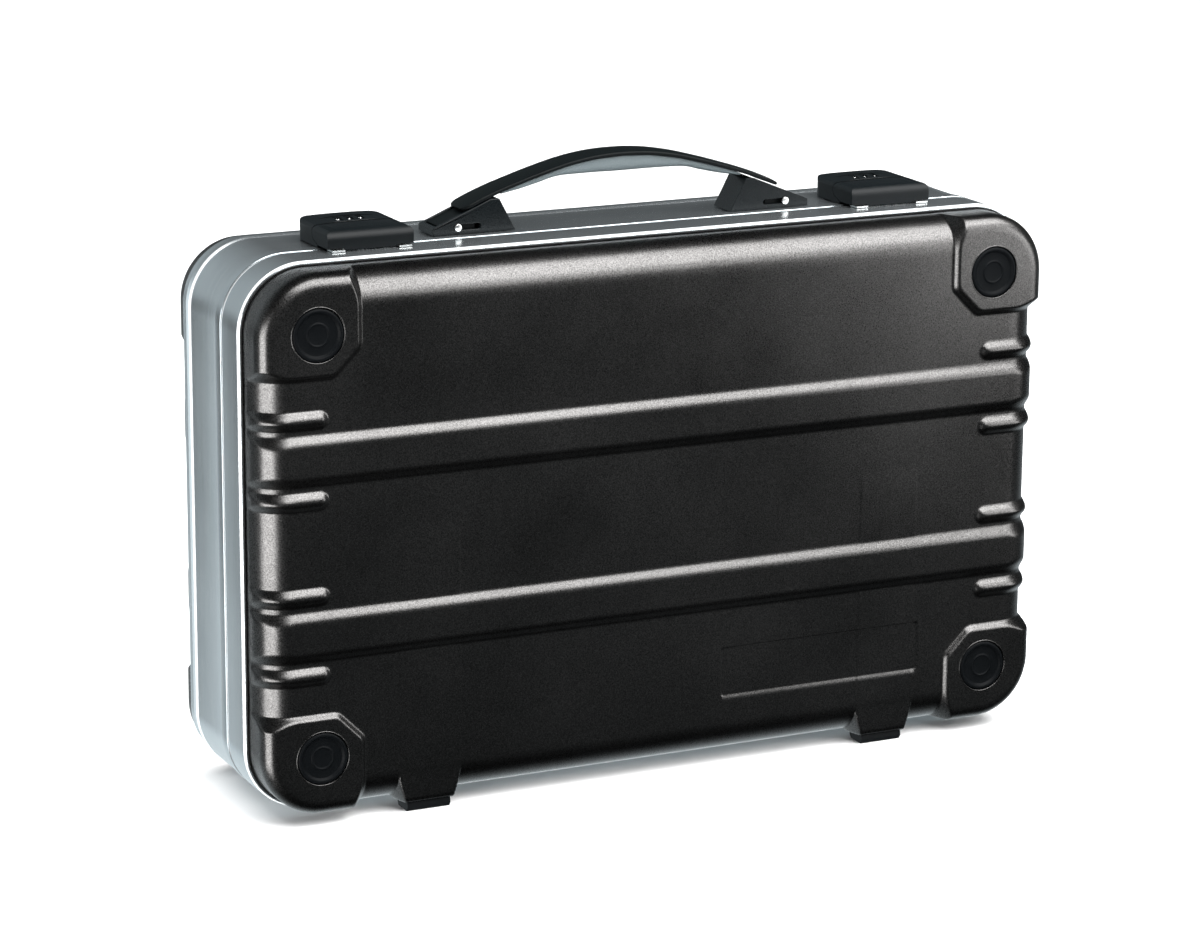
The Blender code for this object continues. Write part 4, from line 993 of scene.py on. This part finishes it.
def pin_mesh(name, side):
    """A cross pin with a domed head at each end, (radius, place along the pin) rows."""
    face = MOUNT_HALF_DEPTH + GAP
    head = (
        (0.0, face + 0.8 * MM), (1.5 * MM, face + 0.78 * MM), (2.05 * MM, face + 0.6 * MM),
        (HANDLE_HEAD_R, face + 0.25 * MM), (HANDLE_HEAD_R, face), (HANDLE_PIN_R, face),
    )
    profile = [(radius, -along) for radius, along in head] + list(reversed(head))
    return lathe_mesh(name, profile, (side * HANDLE_PIN_X, HANDLE_Y, FRAME_TOP + HANDLE_PIN_H), 48)


def build_mounts(paint):
    for name, side in SIDES:
        mesh = mount_mesh(f"mount_block_{name}", side)
        cad = (f"handle_mount_{name}",)
        finish = paint["mount_plastic"]
        obj = register(f"mount_block_{name}", mesh, finish, "case_base", cad, 30.0)
        soften(obj, 0.45 * MM)
        mesh = pin_mesh(f"strap_pin_{name}", side)
        cad = (f"handle_pin_{name}",)
        register(mesh.name, mesh, paint["steel"], f"strap_end_{name}", cad, 40.0)


# -------- locks --------


def lock_crown(centre):
    """The space under the lock's crowned top, whose ends fall away in a quarter ellipse."""
    shoulder = LOCK_H - LOCK_CROWN_DROP
    half = []
    for k in range(13):
        share = k / 12
        half.append((LOCK_CROWN_X * share, LOCK_H - LOCK_CROWN_DROP * share * share))
    fall = (LOCK_HALF - LOCK_CROWN_X, shoulder - LOCK_END_H)
    half += arc((LOCK_CROWN_X, LOCK_END_H), fall, 90, 0, 14)[1:]
    half.append((LOCK_HALF, -1 * MM))
    whole = [(-x, z) for x, z in reversed(half)] + half[1:]
    return prism_helper("crown", [(centre + x, FRAME_TOP + z) for x, z in whole], "Y", *about(0.0, 30 * MM))


def end_spans(centre, wall):
    """The X spans of a wall at each end of the lock."""
    for side in (-1, 1):
        edge = centre + side * LOCK_HALF
        yield sorted((edge, edge - side * wall))


def lock_body_mesh(name, centre):
    low = FRAME_TOP + GAP
    high = FRAME_TOP + LOCK_H
    axis = (FLAP_AXIS_Y, high - FLAP_KNUCKLE_R)
    outline = rounded(
        ((GAP, low, 0.0), (GAP, high, 0.5 * MM), (LOCK_REAR_Y, high, 2.6 * MM), (LOCK_REAR_Y, low, 0.0)), 6
    )
    left, right = about(centre, LOCK_HALF)
    body = prism_mesh(name, outline, "X", left, right)
    plan = rounded(
        (
            (left, -40 * MM, 0.0),
            (right, -40 * MM, 0.0),
            (right, LOCK_REAR_Y, LOCK_CORNER_R),
            (left, LOCK_REAR_Y, LOCK_CORNER_R),
        ),
        12,
    )
    steps = [
        ("INTERSECT", prism_helper("plan", plan, "Z", low - 5 * MM, high + 5 * MM)),
        ("INTERSECT", lock_crown(centre)),
    ]
    lens = arc((centre, DIAL_Y + 8 * MM - LENS_R), LENS_R, 116, 64, 24)
    steps.append(("DIFFERENCE", prism_helper("lens", lens, "Z", high - 1.1 * MM, high + 2 * MM)))
    for k in (-1, 0, 1):
        box = box_outline(about(centre + k * DIAL_PITCH, DIAL_HALF + GAP), about(DIAL_Y, DIAL_R + 0.4 * MM))
        steps.append(("DIFFERENCE", prism_helper("dial_slot", box, "Z", low + 0.8 * MM, high + 2 * MM)))
    plate = box_outline(about(centre, 22 * MM), (-11.5 * MM, 1 * MM))
    steps.append(("UNION", prism_helper("plate", plate, "Z", low, low + 1.2 * MM)))
    cheek = [(1 * MM, axis[1]), (1 * MM, low), (-8.2 * MM, low), (-8.2 * MM, low + 1.25 * MM)]
    cheek += arc(axis, FLAP_KNUCKLE_R + GAP, -90, 0, 16)
    for span in end_spans(centre, FLAP_END_WALL - GAP):
        steps.append(("UNION", prism_helper("cheek", cheek, "X", *span)))
    lug = [(FLAP_AXIS_Y - LUG_R, low + 0.4 * MM), (FLAP_AXIS_Y + 0.6 * MM, low + 0.4 * MM)]
    lug += arc(axis, LUG_R, -60, 180, 16)
    for side in (-1, 1):
        steps.append(("UNION", prism_helper("lug", lug, "X", *about(centre + side * LUG_X, 1 * MM))))
    return combined(body, steps)


def flap_mesh(name, centre):
    high = FRAME_TOP + LOCK_H
    low = FRAME_TOP + FLAP_BOTTOM_H
    axis = (FLAP_AXIS_Y, high - FLAP_KNUCKLE_R)
    inner_y = LOCK_FRONT_Y + FLAP_SHEET
    nose_centre = (LOCK_FRONT_Y + FLAP_NOSE[0], high - FLAP_NOSE[1])
    nose = arc(nose_centre, FLAP_NOSE, 180, 90, 14)
    inner_nose = arc(nose_centre, (FLAP_NOSE[0] - 1.5 * MM, FLAP_NOSE[1] - 1.3 * MM), 90, 180, 10)
    knuckle = arc(axis, FLAP_KNUCKLE_R, 90, 0, 12)
    inner_knuckle = arc(axis, FLAP_KNUCKLE_R - 1.3 * MM, 0, 90, 12)
    sheet = [(LOCK_FRONT_Y, low)] + nose + knuckle + inner_knuckle + inner_nose + [(inner_y, low)]
    body = prism_mesh(name, sheet, "X", *about(centre, LOCK_HALF))
    wall = [(LOCK_FRONT_Y, low)] + nose + arc(axis, FLAP_KNUCKLE_R - 0.02 * MM, 90, -90, 16)
    wall.append((-9 * MM, low))
    steps = []
    for span in end_spans(centre, FLAP_END_WALL):
        steps.append(("UNION", prism_helper("flap_wall", wall, "X", *span)))
    steps.append(("INTERSECT", lock_crown(centre)))
    skirt = box_outline((LOCK_FRONT_Y, inner_y), (FRAME_TOP + FLAP_SKIRT_H, low + 0.5 * MM))
    steps.append(("UNION", prism_helper("skirt", skirt, "X", *about(centre, FLAP_SKIRT_HALF))))
    return combined(body, steps)


def digit_mesh(text, height):
    """One digit as a flat mesh centred on the origin, cut into strips so that it can follow a drum."""
    curve = bpy.data.curves.new("digit", "FONT")
    curve.body = text
    curve.align_x = "CENTER"
    curve.resolution_u = 4
    bm = bmesh.new()
    bm.from_mesh(baked(placed("digit", curve)))
    ys = [v.co.y for v in bm.verts]
    size = height / (max(ys) - min(ys))
    bmesh.ops.translate(bm, verts=bm.verts, vec=(0.0, -(max(ys) + min(ys)) / 2, 0.0))
    bmesh.ops.scale(bm, verts=bm.verts, vec=(size, size, size))
    for k in range(-3, 4):
        whole = bm.verts[:] + bm.edges[:] + bm.faces[:]
        bmesh.ops.bisect_plane(bm, geom=whole, plane_co=(0.0, height * k / 8, 0.0), plane_no=(0.0, 1.0, 0.0))
    return bm


def build_dials(name, centre, paint):
    dial_z = FRAME_TOP + DIAL_AXIS_H
    digits = []
    for value in range(10):
        bm = digit_mesh(str(value), DIGIT_H)
        bm.verts.ensure_lookup_table()
        bm.verts.index_update()
        coords = [v.co.copy() for v in bm.verts]
        loops = [[v.index for v in f.verts] for f in bm.faces]
        bm.free()
        digits.append((coords, loops))
    for number, k in enumerate((-1, 0, 1), start=1):
        point = (centre + k * DIAL_PITCH, DIAL_Y, dial_z)
        bm = bmesh.new()
        rings = []
        profile = (
            (1.2, -1.5), (4.7, -1.5), (5.0, -1.42), (5.15, -1.25), (5.2, -1.0),
            (5.2, 1.0), (5.15, 1.25), (5.0, 1.42), (4.7, 1.5), (1.2, 1.5),
        )
        for s in range(DIAL_STEPS + 1):
            angle = 2 * math.pi * s / DIAL_STEPS
            notch = 0.0 if s % NOTCH_EVERY else DIAL_NOTCH
            ring = []
            for radius, along in profile:
                reach = (radius - (notch if radius > 4 else 0.0)) * MM
                y = point[1] + reach * math.cos(angle)
                ring.append((point[0] + along * MM, y, point[2] + reach * math.sin(angle)))
            rings.append(ring)
        add_loft(bm, rings, closed_ends=False)
        mesh = mesh_from(f"number_dial_{name}{number}", bm)
        cad = (f"lock_dial_{name}{number}",)
        register(mesh.name, mesh, paint["dial"], f"dial_{name}{number}", cad, 40.0)
        bm = bmesh.new()
        radius = DIAL_R + DIGIT_PROUD
        for value, (coords, loops) in enumerate(digits):
            verts = []
            for co in coords:
                angle = math.radians(90 + DIGIT_TURN * value) - co.y / radius
                y = point[1] + radius * math.cos(angle)
                z = point[2] + radius * math.sin(angle)
                verts.append(bm.verts.new((point[0] + co.x * DIGIT_WIDTH, y, z)))
            for loop in loops:
                bm.faces.new([verts[i] for i in loop])
        mesh = bpy.data.meshes.new(f"dial_digits_{name}{number}")
        bm.to_mesh(mesh)
        bm.free()
        register(mesh.name, mesh, paint["digits"], f"dial_{name}{number}", ())


def build_locks(paint):
    for name, side in SIDES:
        centre = side * LOCK_X
        for piece, maker, body, cad, width in (
            (f"lock_case_{name}", lock_body_mesh, "case_base", f"lock_body_{name}", 0.35 * MM),
            (f"flap_cover_{name}", flap_mesh, f"latch_flap_{name}", f"lock_flap_{name}", 0.4 * MM),
        ):
            mesh = maker(piece, centre)
            obj = register(piece, mesh, paint["lock_plastic"], body, (cad,), 30.0)
            soften(obj, width, 3, 35.0)
        build_dials(name, centre, paint)


def paint_cad(paint):
    """The CAD nodes that stay in view get a finish and softened edges."""
    finishes = {
        "hinge_": ("steel", 0.15), "stay_": ("steel", 0.2), "lock_hook_": ("steel", 0.15),
        "lock_axle_": ("steel", 0.0), "lock_flap_pin_": ("steel", 0.0), "lid_striker_": ("steel", 0.15),
        "lid_foot_": ("foot", 0.5), "base_foot_": ("foot", 0.4), "strap_end_": ("strap", 0.4),
    }
    for name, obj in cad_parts.items():
        if obj.hide_render:
            continue
        for prefix, (finish, width) in finishes.items():
            if name.startswith(prefix):
                obj.data.materials.clear()
                obj.data.materials.append(paint[finish])
                if width:
                    soften(obj, width * MM, 2, 40.0)


# -------- studio --------


def add_light(name, place, aim, size, power):
    lamp = bpy.data.lights.new(name, "AREA")
    lamp.shape = "RECTANGLE"
    lamp.size = size[0]
    lamp.size_y = size[1]
    lamp.energy = power
    obj = placed(name, lamp)
    obj.location = place
    obj.rotation_euler = (Vector(aim) - Vector(place)).to_track_quat("-Z", "Y").to_euler()
    return obj


def build_world():
    """Dark ahead of the case and overhead, pale behind it, and a bright floor line far behind."""
    world = bpy.data.worlds.new("studio")
    world.use_nodes = True
    tree = world.node_tree
    coords = node(tree, "ShaderNodeTexCoord")
    parts = node(tree, "ShaderNodeSeparateXYZ")
    tree.links.new(coords.outputs["Generated"], parts.inputs["Vector"])
    across, along, height = (parts.outputs[axis] for axis in "XYZ")
    behind = spread(tree, along, -0.2, 0.4, 0.0, 1.0)
    overhead = spread(tree, height, 0.5, 0.9, 1.0, 0.15)
    upper = product(tree, spread(tree, across, -0.3, 0.35, 0.50, 0.06), overhead)
    right_side = spread(tree, across, 0.12, 0.38, 1.0, 0.3)
    level = product(tree, spread(tree, across, -0.36, -0.14, 0.10, 1.2), right_side)
    steep = spread(tree, height, -0.45, -0.2, 1.0, 0.0)
    white = node(tree, "ShaderNodeValue")
    white.outputs["Value"].default_value = 0.9
    lower = blended(tree, steep, level, white.outputs["Value"])
    ahead = spread(tree, height, -0.75, -0.25, 0.01, 0.10)
    front = product(tree, ahead, spread(tree, height, 0.0, 0.3, 1.0, 0.25))
    rear = blended(tree, spread(tree, height, -0.10, 0.04, 0.0, 1.0), lower, upper)
    background = tree.nodes["Background"]
    background.inputs["Color"].default_value = (0.90, 1.0, 1.04, 1.0)
    tree.links.new(blended(tree, behind, front, rear), background.inputs["Strength"])
    bpy.context.scene.world = world


def build_studio():
    made, _, shader = graph("pale_floor", 0.0)
    shader.inputs["Base Color"].default_value = (0.86, 0.86, 0.86, 1.0)
    shader.inputs["Roughness"].default_value = 0.7
    bm = bmesh.new()
    for x, y in ((-9, -9), (9, -9), (9, 12), (-9, 12)):
        bm.verts.new((x, y, 0.0))
    bm.faces.new(bm.verts)
    mesh = bpy.data.meshes.new("studio_floor")
    bm.to_mesh(mesh)
    bm.free()
    mesh.materials.append(made)
    floor = placed("studio_floor", mesh)
    floor.visible_glossy = False
    floor.visible_shadow = False
    build_world()
    add_light("floor_fill", (0.0, 0.8, 3.0), (0.0, 0.8, 0.0), (5.0, 5.0), 330).visible_glossy = False
    add_light("key_box", (0.50, -0.90, 1.42), (0.0, -0.05, 0.22), (1.9, 1.15), 60)
    add_light("front_strip", (0.66, -1.32, 0.82), (0.0, -0.05, 0.24), (1.5, 0.16), 5.0)
    add_light("left_strip", (-1.06, -0.48, -0.04), (-0.24, -0.05, 0.12), (0.80, 0.90), 17.0)
    add_light("glow_card", (0.72, -0.62, 0.30), (0.1, -0.06, 0.24), (0.40, 0.40), 2.4)
    scene = bpy.context.scene
    scene.view_settings.view_transform = "Standard"
    scene.view_settings.look = "None"


def build_camera():
    flat = math.cos(CAMERA_PITCH)
    ahead = Vector((math.sin(CAMERA_YAW) * flat, math.cos(CAMERA_YAW) * flat, -math.sin(CAMERA_PITCH)))
    level = ahead.cross(Vector((0.0, 0.0, 1.0))).normalized()
    above = level.cross(ahead)
    right = math.cos(CAMERA_ROLL) * level + math.sin(CAMERA_ROLL) * above
    up = -math.sin(CAMERA_ROLL) * level + math.cos(CAMERA_ROLL) * above
    data = bpy.data.cameras.new("camera")
    data.sensor_width = 36.0
    data.lens = CAMERA_LENS
    data.clip_start = 0.1
    data.clip_end = 60.0
    camera = placed("camera", data)
    turn = Matrix((right, up, -ahead)).transposed().to_4x4()
    camera.matrix_world = Matrix.Translation(CAMERA_PLACE) @ turn
    bpy.context.scene.camera = camera


def main():
    paint = build_materials()
    build_shells(paint)
    build_frames(paint)
    build_linings(paint)
    build_buttons(paint)
    build_strap(paint)
    build_grip(paint)
    build_mounts(paint)
    build_locks(paint)
    paint_cad(paint)
    build_studio()
    build_camera()


main()
